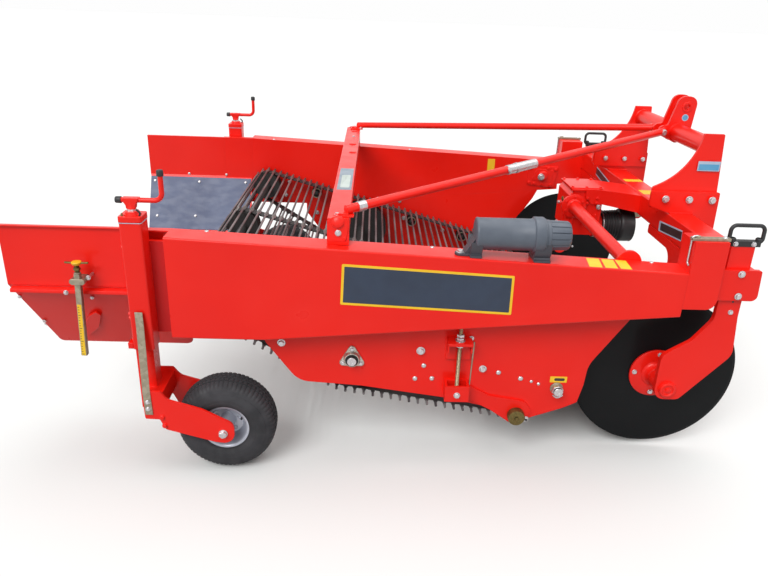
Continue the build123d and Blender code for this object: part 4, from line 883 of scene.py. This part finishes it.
# Lugs at the ends of the cross bar, its bolts and the stays' sleeves
def cross_bar_trim():
    p = Piece()
    outline = rounded([(-37, -54, 4), (26, -54, 4), (36, -2, 14), (17, 20, 22), (-8, 38, 22), (-38, 22, 22)])
    p.prism(outline, 8, outward(-194, 958, -904.5), "red", 1.4)
    p.lathe([(22, -3), (21, 2), (16, 6), (8, 8), (0, 8.4)], place((-196, -911.5, 974), (0, -1, 0.35), FRONT), "red", 30)
    p.bolt((-195, -912.5, 934), RIGHT, 10)
    p.bolt((-172, -912.5, 915), RIGHT, 6, key="red")
    # the stay's foot: a clamp plate and two nuts
    p.box((-212, -896, 984.6), (-142, -836, 991), "red", 1.6)
    for x, y in ((-200, -884), (-154, -846)):
        p.bolt((x, y, 991), UP, 8)
    p.done("cross_bar_lugs", "red_paint", "both")
    s = Piece()
    rear, stay = Vector((-170, -870, 1005)), Vector((1386, 816, 165))
    # share of the stay, start and end on from there, radius
    for share, z0, z1, r in ((0.44, 0, 147, 18.6), (0.44, 40, 55, 20.4), (0.028, 0, 32, 18.2)):
        sleeve = [(16.3, z0), (r, z0 + 1), (r, z1 - 1), (16.3, z1)]
        s.lathe(sleeve, place(rear + stay * share, stay, UP), "bolt", 28, closed=True)
    s.bolt(rear + stay * 0.447 + Vector((0, -18, 4)), (0, -1, 0.2), 9)
    s.done("stay_sleeves", "galvanised")
    # marks along the bar's top: caps, a boss and a small bolt
    m = Piece()
    for x, y, r in ((-186, 399, 18), (-180, 196, 18), (-190, 774, 15)):
        m.lathe([(r, 0), (r, 2), (r - 2.4, 3.6), (0, 4)], place((x, y, CROSS_BAR_TOP)), "red", 30)
    m.bolt((-187, 601, CROSS_BAR_TOP), UP, 8)
    m.done("cross_bar_caps", "red_paint")


cross_bar_trim()


# Headstock: big bolts through the mast plates, the stays' bolt, weld beads and collars
def headstock():
    p = Piece()
    for x in (1123, 1221, 1316):
        p.bolt((x, -421.5, 957), RIGHT, 13.5)
        p.bolt((x, -377.5, 957), LEFT, 13, "nut", washer=False)
    p.lathe([(18, 0), (18, 12), (16.6, 14), (0, 14)], place((1212, -58, 1170), RIGHT), "red", 30)
    p.bolt((1212, -72, 1170), RIGHT, 12)
    p.done("mast_bolt_set", "galvanised", "both")
    q = Piece()
    # weld beads where the top tube meets the mast plates and the ears
    for y in (-386.5, -42):
        q.tube([(1286 + a, y, 1166 + b) for a, b in circle(39, 28)], 3.2, "red", 6, closed=True)
    # rings round the top link's eyes
    for y, side in ((-40, RIGHT), (-26, LEFT)):
        ring = [(13.2, 0), (13.2, 3), (21, 3), (22.4, 1.6), (22.4, 0)]
        q.lathe(ring, place((1308, y, 1278), side), "red", 28, closed=True)
    # seams of the cheeks on the crossbeam, and beads of the knees and end boxes
    for z, y in product((897.5, 793), (-414.5, -386.5)):
        q.tube([(1152, y, z), (1248, y, z)], 3.4, "red", 6)
    q.tube([(1251.6, -414.5, 798), (1251.6, -414.5, 894)], 3.2, "red", 6)
    q.tube([(1148.4, -846, 797), (1148.4, -846, 893)], 3, "red", 6)
    q.done("weld_beads", "red_paint", "both")


headstock()


# Latch bars: a slotted strip with a bolt, a bent release rod and a small lever
def latches():
    p = Piece()
    y = -931
    p.prism(slab(1012, y - 12, 1146, y + 12, 3), 10, place((0, 0, 950.4)), "galv", 1)
    p.bolt((1128, y, 960), UP, 8, "dome")
    p.lathe([(9, 0), (9, 5), (7, 6.5), (0, 6.5)], place((1034, y, 960)), "galv", 22)
    p.tube(bent([(1034, y, 964), (1015, y, 964), (1015, y, 868), (1015, y - 13, 862)], 8), 3.6, "bolt", 10)
    p.done("latch_set", "galvanised", "both", replaces=["latches"])


latches()


# Discs: bolts of the hubs, ends of the spindles, and the arms' clamps and handles
def discs():
    p = Piece()
    for a, b in circle(83, 4, radians(86)):
        p.bolt((DISC_X + a, -784.5, DISC_Z + b), RIGHT, 9)
        p.bolt((DISC_X + a, -767, DISC_Z + b), LEFT, 8, "nut", washer=False)
    p.done("disc_bolt_set", "red_paint", "pair", "disc")
    h = Piece()
    at = outward(DISC_X, DISC_Z, -783)
    h.lathe([(56, 0.2), (50, 2.4), (43, 8), (39.5, 20), (38.4, 34), (38.2, 0.2)], at, "red", 40, closed=True)
    flange = [(78, -9.6), (100, -9.6), (101, -8), (101, 0), (99, 1.5), (55, 1.5), (55, 0.2), (78, 0.2)]
    h.lathe(flange, at, "red", 64, closed=True)
    h.done("disc_hub_trim", "red_paint", "pair", "disc")
    a = Piece()
    at = outward(DISC_X, DISC_Z, -911.8)
    a.lathe([(29.6, -9), (31.6, -4), (31.6, 0), (29, 3.4), (21.5, 4.6), (20, 3), (19, 0.6), (0, 0.6)], at, "red", 36)
    a.lathe([(11, 0.4), (10, 5), (7, 6.4), (0, 6.4)], at, "red", 6, 0.3)
    a.bolt((1226, -902, 670), RIGHT, 8.5)
    a.tube([(1226, -901.5, 711), (1226, -902.3, 711)], 4, "dark_film", 12)
    a.done("disc_arm_bolts", "red_paint", "pair", "disc_arm")
    c = Piece()
    for x, z in ((1222, 825), (1228, 741)):
        c.bolt((x, -918.8, z), RIGHT, 11, "flange")
        c.bolt((x, -849.5, z - 2), LEFT, 12, "nut")
    c.tube([(1140, -919.4, 728), (1140, -919.4, 836)], 2.6, "red", 6)
    c.done("clamp_bolts", "red_paint", "both")
    d = Piece()
    for x in (1184, 1248):
        d.bolt((x, -904, 931), RIGHT, 8)
    for x in (1176, 1268):
        d.lathe([(8, 0), (11, 0), (11, 8), (8, 11)], place((x, -892, 940)), "black", 20, closed=True)
    d.done("handle_bolts", "red_paint", "pair", "disc_arm")


discs()


# Towers: a cap with a band, a stop and a grease nipple, guides of the leg, and the leg's scale and fork bolts
def towers():
    p = Piece()
    x, y = TOWER_X, TOWER_Y
    collar = place((x, y, TOWER_TOP))
    p.prism(rectangle(78, 78, 9), 20, place((x, y, 966)), "red", 1.6, True)
    p.prism(rectangle(78, 78, 9), 2.4, place((x, y, 962.8)), "pale_film", 0.5, True)
    p.lathe([(30, 0), (30, 3), (26, 5), (24, 12), (15, 13), (15, 0)], collar, "red", 32, closed=True)
    p.lathe([(17, 12), (17, 19), (13, 21), (13, 12)], collar, "bolt", 6, closed=True)
    stop = [(x + dx, y - 22, z) for dx, z in ((30, 984), (34, 996), (22, 1008))]
    p.tube(bent(stop, 6), 3.4, "black", 10)
    nipple = [(4, 0), (4, 4), (2.6, 6), (3.4, 9), (1.6, 11), (0, 11)]
    p.lathe(nipple, place((x - 26, y - 26, TOWER_TOP)), "brass", 12)
    # a darker red cover sheet in the gap between the tower and the beam: painted shade of the recess
    p.prism(rectangle(60, 343, 2), 0.8, outward(-812, 712, -903.6), "red_painted_shade", 0.2)
    # foot clamp that guides the leg
    p.box((x - 56, y - 34, 494), (x - 36, y + 2, 518), "red", 2)
    for dy, z in ((-18, 625), (-18, 609), (-14, 872)):
        p.bolt((x - 38, y + dy, z), REAR, 9, key="red")
    p.done("tower_trim", "red_paint", "both")
    s = Piece()
    # scale strip, set over to the fork at its foot, with two screws
    line = [Vector(at) for at in ((x - 1, -972, 645), (x + 2, -980, 590), (x + 12, -1021.5, 352), (x + 15, -1023, 262))]
    section = [(-13.5, -1.2), (-13, -1.5), (13, -1.5), (13.5, -1.2), (13.5, 1.2), (13, 1.5), (-13, 1.5), (-13.5, 1.2)]
    across = Vector(FRONT)
    rings = []
    for before, at, after in zip(line[:1] + line, line, line[1:] + line[-1:]):
        normal = (after - before).normalized().cross(across).normalized()
        rings.append([tuple(at + across * u + normal * v) for u, v in section])
    s.rings(rings, "galv")
    for z in (315, 287):
        s.bolt((x + 14, -1024.6, z), RIGHT, 8)
    s.prism([(-13, 0), (13, 0), (13, 5), (-13, 5)], 0.3, outward(x - 1, 638, -973.6), "white_film")
    s.done("scale_strip", "galvanised", "pair", "leg", ["depth_scale"])
    f = Piece()
    for bx, bz in ((-822, 250), (-816, 214)):
        f.bolt((bx, -1020, bz), RIGHT, 9, key="red")
    at = outward(WHEEL[0], WHEEL[2], -1032)
    f.lathe([(12.4, -12), (16.5, -12), (16.5, -8.5), (12.4, -7.5)], at, "bolt", 28, closed=True)
    f.lathe([(12.4, -8), (15, -8), (15, 1), (13.4, 2.4), (10, 2.4), (9, 4), (0, 4.4)], at, "bolt", 6, 0.3)
    f.done("fork_bolts", "red_paint", "pair", "leg")


towers()


# Wings: liner bolts, wall screws, the curved gusset and a folded lip
def wings():
    down, over = Vector((0, 0.4646, -0.8856)), Vector((0, 0.8856, 0.4646))
    start = Vector((0, -852.5, 690)) + over * 2.6
    s = Piece()
    right = rounded([(-1374, 14, 3), (-793, 16, 3), (-796, 326, 6), (-1301, 326, 12)])
    s.prism(right, 3.9, place(start, over, FRONT), "liner", 0.8)
    # the left one ends in the straight rear edge that the photo shows
    left = rounded([(-1372, -326, 6), (-796, -326, 6), (-793, -16, 3), (-1376, -14, 3)])
    s.prism(left, 3.9, place((0, -start.y, start.z), (0, -over.y, over.z), FRONT), "liner", 0.8)
    s.done("liner_sheets", "liner_grey", replaces=["wing_liners"])
    p = Piece()
    for x, along in ((-1352, 42), (-1094, 42), (-824, 40), (-1330, 250), (-1108, 246), (-858, 250)):
        p.bolt(start + over * 3.8 + down * along + Vector((x, 0, 0)), over, 8, "dome")
    for x in (-1156, -938):
        p.bolt((x, -WALL_FACE, 697), LEFT, 7, "dome")
    p.done("liner_bolts", "galvanised", "both")
    n = Piece()
    # nuts of the liner bolts outside, and one on the wall screw
    under = Vector((0, -855.5, 690)) - over * 3.2
    for x, along in ((-1360, 65), (-1096, 60), (-1320, 211), (-1177, 274)):
        n.bolt(under + down * along + Vector((x, 0, 0)), -over, 8, "nut", washer=False)
    n.bolt((-1166, -878.4, 672.5), RIGHT, 8, "nut")
    n.done("wing_nuts", "galvanised", "both")
    # the folded ledge over the lower panel, and a curved gusset
    g = Piece()
    ledge = [(-853.5, 683.6), (-873, 681.6), (-877, 679.4), (-878.6, 675), (-878.6, 668), (-874.8, 668), (-874.8, 677),
             (-853.5, 679.4)]
    g.prism(ledge, 416, place((-1364, 0, 0), FRONT, LEFT), "red")
    gusset = rounded([(-1104, -140, 5), (-1135, -162, 20), (-1158, -200, 20), (-1188, -284, 6), (-1168, -286, 8),
                      (-1118, -236, 30), (-1090, -158, 8)])
    g.prism(gusset, 9, place(under, -over, FRONT), "red", 1.2)
    g.done("wing_trim", "red_paint", "both")


wings()


# Channel walls and beam tops: bolts of the web's supports and of the beams' seams
def walls():
    p = Piece()
    for x, z in ((-569, 665), (-590, 586), (-159, 505), (-43, 579), (87, 566)):
        p.bolt((x, WALL_FACE, z), RIGHT, 9, "flange")
    for x, z in ((873, 703), (844, 702), (997, 707)):
        p.bolt((x, WALL_FACE, z), RIGHT, 6, key="red")
    p.done("wall_bolts", "red_paint", "both")
    b = Piece()
    for x, y in ((-655, -858), (134, -862), (922, -861)):
        b.bolt((x, y, beam_top(x)), BEAM_UP, 7, "dome")
    b.done("beam_bolts", "red_paint", "both")


walls()


# Gearbox: cover screws, ribs, filler plug and the necks' collars
def gearbox():
    p = Piece()
    for x, z in product((858, 905, 950), (868, 846)):
        p.bolt((x, -105, z), RIGHT, 7, key="red")
    p.bolt((960, -105, 828), RIGHT, 10)
    for x in (846, 900, 954):
        p.prism(slab(-4, -30, 4, 30, 3), 9, outward(x, 760, -94.6), "red", 1.5)
    p.mirrored()
    # the drive tube's collar on the right
    x, z = 845, 830
    collar = [(56, 0), (56, 3), (53, 5), (34, 5), (30, 12), (26.4, 14), (26.4, 0)]
    p.lathe(collar, place((x, -107, z), RIGHT), "red", 40, closed=True)
    for a, b in circle(43, 6, radians(30)):
        p.bolt((x + a, -112, z + b), RIGHT, 6, key="red", washer=False)
    # cover plate and neck flange
    p.prism(rectangle(150, 180, 8), 4, place((902, 0, 908)), "red", 1)
    for b, a in product((-78, 78), (-64, 0, 64)):
        p.bolt((902 + a, b, 912), UP, 7, key="red")
    x, z = 988, PTO_Z
    neck = [(60, 0), (60, 3), (56, 6), (48.4, 6), (48.4, 0)]
    p.lathe(neck, place((x, 0, z), FRONT), "red", 40, closed=True)
    for a, b in circle(54, 8, radians(22.5)):
        p.bolt((x, a, z + b), FRONT, 6, washer=False)
    x, z = 822, 760
    p.prism(slab(-52, -60, 52, 60, 20), 6, place((x, 0, z), REAR), "red", 1.5)
    for b, a in product((-48, 48), (-40, 40)):
        p.bolt((x - 6, a, z + b), REAR, 8)
    p.lathe([(12, 0), (12, 4), (9, 6), (0, 6)], place((x, 0, 836), REAR), "brass", 6)
    p.done("gearbox_trim", "red_paint")


gearbox()


# Input guard: a moulded bellows of soft ribs with a flared mouth
def guard():
    p = Piece()
    at = place((1010, 0, PTO_Z), FRONT)
    outer = [(48, 0.5), (57, 0.5), (59.6, 3)]
    for k in range(6):
        r, z = 60 + 0.9 * k, 8 + 12 * k
        outer += [(r, z), (r + 5, z + 2.4), (r + 6.4, z + 5), (r + 5, z + 7.6), (r + 0.4, z + 10)]
    outer += [(66, 82), (74, 86), (77.4, 92), (78, 100), (77, 146), (78, 148), (77, 150), (74.6, 149), (73.4, 100),
              (70, 90), (57, 78), (55, 10), (42, 6), (42, 0.5)]
    p.lathe(outer, at, "black", 72, closed=True)
    p.lathe([(56.4, 5), (60.6, 4), (60.6, 9), (56.4, 10)], at, "bolt", 48, closed=True)
    p.done("pto_guard_body", "black_plastic", replaces=["pto_shield"])


guard()


# Depth cranks: a turned spindle head, a bent rod and moulded caps
def cranks():
    x, y, z = TOWER_X, TOWER_Y, CRANK_Z
    p = Piece()
    spindle = [(12.2, -190), (12.2, -46), (14.5, -44), (14.5, -24), (12, -20), (12, -6), (0, -4)]
    p.lathe(spindle, place((x, y, z)), "red", 26)
    head = ((13, 10, -28), (15, 11, -26), (16, 11, -16), (26, 13, 2), (27, 13, 7), (26, 12, 9))
    p.rings([[(x + sx * w, y + sy * d, z + h) for sx, sy in ((-1, -1), (1, -1), (1, 1), (-1, 1))]
             for w, d, h in head], "red")
    p.tube(bent([(x - 33, y, z), (x + 104, y, z), (x + 104, y, z + 86)], 26, 8), 8.6, "red", 18)
    p.done("crank_rods", "red_paint", "both", replaces=["depth_cranks"])
    c = Piece()
    cap = [(8.7, 0), (11.4, 0), (11.8, 1.6), (11.2, 17), (9.4, 19.6), (5, 20.4), (0, 20.6)]
    for at in (place((x - 31, y, z), REAR), place((x + 104, y, z + 84))):
        c.lathe(cap, at, "black", 26)
    c.done("crank_caps", "black_plastic", "both", replaces=["crank_grips"])


cranks()


# Studio: a pale floor and backdrop for the camera and in reflections, greyer for other rays, and soft lamps
def seen_or_reflected(tree):
    """1 on rays from the camera, in reflections and through glass, 0 on the others."""
    path = tree.nodes.new("ShaderNodeLightPath")
    value = path.outputs["Is Camera Ray"]
    for ray in ("Is Glossy Ray", "Is Transmission Ray"):
        either = set_up(tree.nodes.new("ShaderNodeMath"), operation="MAXIMUM")
        tree.links.new(value, either.inputs[0])
        tree.links.new(path.outputs[ray], either.inputs[1])
        value = either.outputs[0]
    return value


def studio_floor():
    material = bpy.data.materials.new("studio_floor")
    material.use_nodes = True
    tree = material.node_tree
    bsdf = set_up(tree.nodes["Principled BSDF"], Roughness=0.9, Specular_IOR_Level=0.1)
    shade = set_up(tree.nodes.new("ShaderNodeMix"), data_type="RGBA")
    shade.inputs[6].default_value = (0.2, 0.2, 0.2, 1)
    shade.inputs[7].default_value = (0.7, 0.71, 0.7, 1)
    tree.links.new(seen_or_reflected(tree), shade.inputs["Factor"])
    tree.links.new(shade.outputs[2], bsdf.inputs["Base Color"])
    mesh = bpy.data.meshes.new("floor")
    size = 60
    mesh.from_pydata([(-size, -size, 0), (size, -size, 0), (size, size, 0), (-size, size, 0)], [], [(0, 1, 2, 3)])
    mesh.materials.append(material)
    floor = bpy.data.objects.new("floor", mesh)
    floor.location.z = -0.0005
    scene.collection.objects.link(floor)


def backdrop():
    world = bpy.data.worlds.new("studio")
    scene.world = world
    world.use_nodes = True
    tree = world.node_tree
    tree.nodes.clear()
    out = tree.nodes.new("ShaderNodeOutputWorld")
    seen, light = (set_up(tree.nodes.new("ShaderNodeBackground"), Color=(shade, shade, shade, 1), Strength=strength)
                   for shade, strength in ((0.99, 1.0), (1, 0.68)))
    mix = tree.nodes.new("ShaderNodeMixShader")
    tree.links.new(seen_or_reflected(tree), mix.inputs["Fac"])
    tree.links.new(light.outputs[0], mix.inputs[1])
    tree.links.new(seen.outputs[0], mix.inputs[2])
    tree.links.new(mix.outputs[0], out.inputs["Surface"])


def sun(name, source, strength, spread):
    """A soft sun that shines from a direction."""
    data = bpy.data.lights.new(name, "SUN")
    data.energy = strength
    data.angle = radians(spread)
    obj = bpy.data.objects.new(name, data)
    obj.rotation_euler = Vector(source).to_track_quat("Z", "Y").to_euler()
    scene.collection.objects.link(obj)


studio_floor()
backdrop()
sun("key_soft", (-0.5, -0.85, 0.9), 2.2, 34)
sun("top_soft", (0.3, 0.1, 1.0), 1.3, 60)
